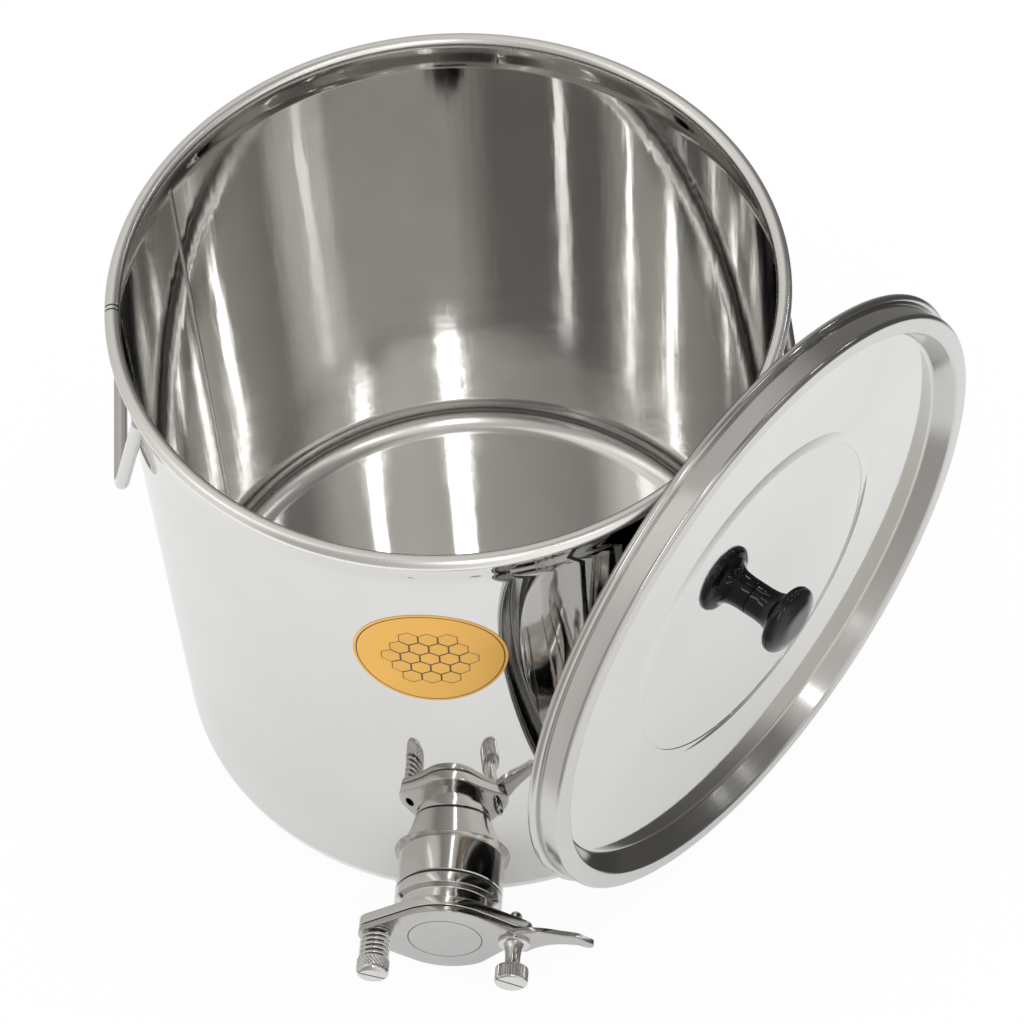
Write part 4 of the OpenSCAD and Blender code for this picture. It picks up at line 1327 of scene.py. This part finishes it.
class FrontLabel(bpy.types.Operator):
    """Round printed label on the wall"""
    bl_idname = "settling_tank.label"
    bl_label = "Label"

    def execute(self, context):
        tank, look = settings().tank, settings().finish
        steps, rings = 96, 14
        glue = 0.00002
        front, back = tank.radius + look.label_sheet, tank.radius + glue

        def on_wall(x, z, r):
            """A point of the label bent around the wall."""
            return (x, -sqrt(r * r - x * x), look.label_height + z)

        points = [on_wall(0, 0, front)]
        faces = []
        for j in range(1, rings + 2):
            reach = look.label_radius * min(j, rings) / rings
            r = front if j <= rings else back
            points.extend(on_wall(reach * cos(2 * pi * k / steps), reach * sin(2 * pi * k / steps), r)
                          for k in range(steps))
        for k in range(steps):
            faces.append([0, 1 + k, 1 + (k + 1) % steps])
        for j in range(rings):
            a, b = 1 + j * steps, 1 + (j + 1) * steps
            faces.extend([a + k, b + k, b + (k + 1) % steps, a + (k + 1) % steps] for k in range(steps))
        piece("front_label_print", (points, faces), label_print("label_print"), "tank", "label")
        return {"FINISHED"}


class Studio(bpy.types.Operator):
    """Camera, white floor, lamps and the room around the tank"""
    bl_idname = "settling_tank.studio"
    bl_label = "Studio"

    def execute(self, context):
        look, scene = settings().studio, context.scene
        scene.view_settings.view_transform = "Standard"
        self.camera(scene, look)
        self.floor(scene, look)
        self.room(scene)
        for lamp in LAMPS:
            self.lamp(scene, *lamp)
        return {"FINISHED"}

    def camera(self, scene, look):
        """Camera at the eye, turned to the aim and rolled."""
        eye, aim = Vector(look.eye), Vector(look.aim)
        back = (eye - aim).normalized()
        right = Vector((0, 0, 1)).cross(back).normalized()
        up = back.cross(right)
        across = right * cos(look.roll) + up * sin(look.roll)
        above = up * cos(look.roll) - right * sin(look.roll)
        camera = bpy.data.objects.new("camera", bpy.data.cameras.new("camera"))
        scene.collection.objects.link(camera)
        camera.data.lens = look.lens
        camera.data.sensor_width = 36
        camera.data.clip_end = 100
        camera.matrix_world = Matrix(((across.x, above.x, back.x, eye.x), (across.y, above.y, back.y, eye.y),
                                      (across.z, above.z, back.z, eye.z), (0, 0, 0, 1)))
        scene.camera = camera

    def floor(self, scene, look):
        """Wide floor just under the tank."""
        mesh = bpy.data.meshes.new("floor")
        half = look.floor_half
        corners = [(-half, -half, 0), (half, -half, 0), (half, half, 0), (-half, half, 0)]
        mesh.from_pydata(corners, [], [(0, 1, 2, 3)])
        floor = bpy.data.objects.new("floor", mesh)
        scene.collection.objects.link(floor)
        floor.location.z = -look.floor_drop
        mesh.materials.append(self.floor_paper(look))

    def floor_paper(self, look):
        """White paper that keeps shadows; in the steel it shows only where it is seen steeply."""
        material, tree, shader = blank("floor_paper")
        shader.inputs["Roughness"].default_value = 0.9
        shader.inputs["Specular IOR Level"].default_value = 0.1
        spot = grain(tree, object_place(tree), 3, 3)
        paper = blend(tree, spot, look.floor, [c * 0.985 for c in look.floor])
        tree.links.new(paper, shader.inputs["Base Color"])
        white = tree.nodes.new("ShaderNodeEmission")
        mixer = tree.nodes.new("ShaderNodeMixShader")
        path = tree.nodes.new("ShaderNodeLightPath")
        mirrored = calc(tree, "MAXIMUM", path.outputs["Is Glossy Ray"], path.outputs["Is Transmission Ray"])
        plain = times(tree, path.outputs["Is Camera Ray"], look.floor_white)
        bright = calc(tree, "MAXIMUM", plain, times(tree, mirrored, look.floor_mirror))
        tree.links.new(bright, mixer.inputs["Fac"])
        tree.links.new(shader.outputs[0], mixer.inputs[1])
        tree.links.new(white.outputs[0], mixer.inputs[2])
        glance = tree.nodes.new("ShaderNodeLayerWeight")
        shallow = spread(tree, glance.outputs["Facing"], 0.28, 0.42, 0.0, 1.0)
        open_floor = tree.nodes.new("ShaderNodeMixShader")
        tree.links.new(times(tree, shallow, path.outputs["Is Glossy Ray"]), open_floor.inputs["Fac"])
        tree.links.new(mixer.outputs[0], open_floor.inputs[1])
        tree.links.new(tree.nodes.new("ShaderNodeBsdfTransparent").outputs[0], open_floor.inputs[2])
        tree.links.new(open_floor.outputs[0], tree.nodes["Material Output"].inputs["Surface"])
        return material

    def room(self, scene):
        """World: white to the camera and to matt surfaces, a dim room around the tank in the steel."""
        world = bpy.data.worlds.new("room")
        scene.world = world
        world.use_nodes = True
        tree = world.node_tree
        back = tree.nodes["Background"]
        path = tree.nodes.new("ShaderNodeLightPath")
        split = tree.nodes.new("ShaderNodeSeparateXYZ")
        tree.links.new(tree.nodes.new("ShaderNodeTexCoord").outputs["Generated"], split.inputs[0])
        turn = calc(tree, "ARCTAN2", split.outputs[0], times(tree, split.outputs[1], -1.0))
        share_round = spread(tree, turn, -pi, pi, 0.0, 1.0)
        high = self.tones(tree, share_round, HIGH_TONES)
        low = self.tones(tree, share_round, LOW_TONES)
        dim = blend(tree, spread(tree, split.outputs[2], 0.45, 0.72, 0.0, 1.0), low, high)
        seen = blend(tree, path.outputs["Is Glossy Ray"], (1.1, 1.1, 1.1), dim)
        shown = blend(tree, path.outputs["Is Camera Ray"], seen, (1.0, 1.0, 1.0))
        tree.links.new(shown, back.inputs["Color"])

    def tones(self, tree, share_round, stops):
        """A slightly warm grey that changes around the tank through a few stops."""
        ramp = tree.nodes.new("ShaderNodeValToRGB")
        tree.links.new(share_round, ramp.inputs["Fac"])
        marks = ramp.color_ramp.elements
        marks[1].position = 1.0
        for i, (turn, level) in enumerate(stops):
            at = turn / 360 + 0.5
            mark = marks[0] if i == 0 else marks[-1] if i == len(stops) - 1 else marks.new(at)
            mark.position = at
            mark.color = (level, level * 0.965, level * 0.92, 1)
        return ramp.outputs["Color"]

    def lamp(self, scene, name, turn, rise, wide, tall, level):
        """A softbox in a direction given in degrees from the gate and above the floor."""
        reach, aim_height = 2.6, 0.2
        turn, rise = radians(turn), radians(rise)
        out = Vector((cos(rise) * sin(turn), -cos(rise) * cos(turn), sin(rise)))
        data = bpy.data.lights.new(name, "AREA")
        data.shape = "RECTANGLE"
        data.size = wide
        data.size_y = tall
        data.energy = level * pi * wide * tall
        lamp = bpy.data.objects.new(name, data)
        scene.collection.objects.link(lamp)
        lamp.location = out * reach + Vector((0, 0, aim_height))
        lamp.rotation_euler = out.to_track_quat("Z", "Y").to_euler()


OPERATORS = (TankShell, TankHandles, OutletPipe, GateBody, GatePlate, PivotScrew, ClampScrew, LeaningLid,
             LidKnob, FrontLabel, Studio)


class TankPanel(bpy.types.Panel):
    """Settings and pieces of the settling tank"""
    bl_idname = "VIEW3D_PT_settling_tank"
    bl_label = "Settling tank"
    bl_space_type = "VIEW_3D"
    bl_region_type = "UI"
    bl_category = "Settling tank"

    def draw(self, context):
        for operator in OPERATORS:
            self.layout.operator(operator.bl_idname)
        for part in ("tank", "gate", "lid", "finish", "studio"):
            box = self.layout.box()
            box.label(text=part.capitalize())
            values = getattr(settings(), part)
            for name in values.__annotations__:
                box.prop(values, name)


CLASSES = (TankSizes, GateSizes, LidSizes, Finishes, StudioLook, TankSettings, *OPERATORS, TankPanel)


def register():
    """Makes the settings, operators and panel known to Blender."""
    for cls in CLASSES:
        bpy.utils.register_class(cls)
    bpy.types.Scene.settling_tank = PointerProperty(type=TankSettings)


def unregister():
    """Takes the settings, operators and panel out of Blender."""
    del bpy.types.Scene.settling_tank
    for cls in reversed(CLASSES):
        bpy.utils.unregister_class(cls)


def main():
    register()
    make = bpy.ops.settling_tank
    make.studio()
    make.shell()
    make.handles()
    make.outlet()
    make.gate_body()
    make.gate_plate()
    make.pivot()
    make.clamp()
    make.lid()
    make.knob()
    make.label()


if __name__ == "__main__":
    main()
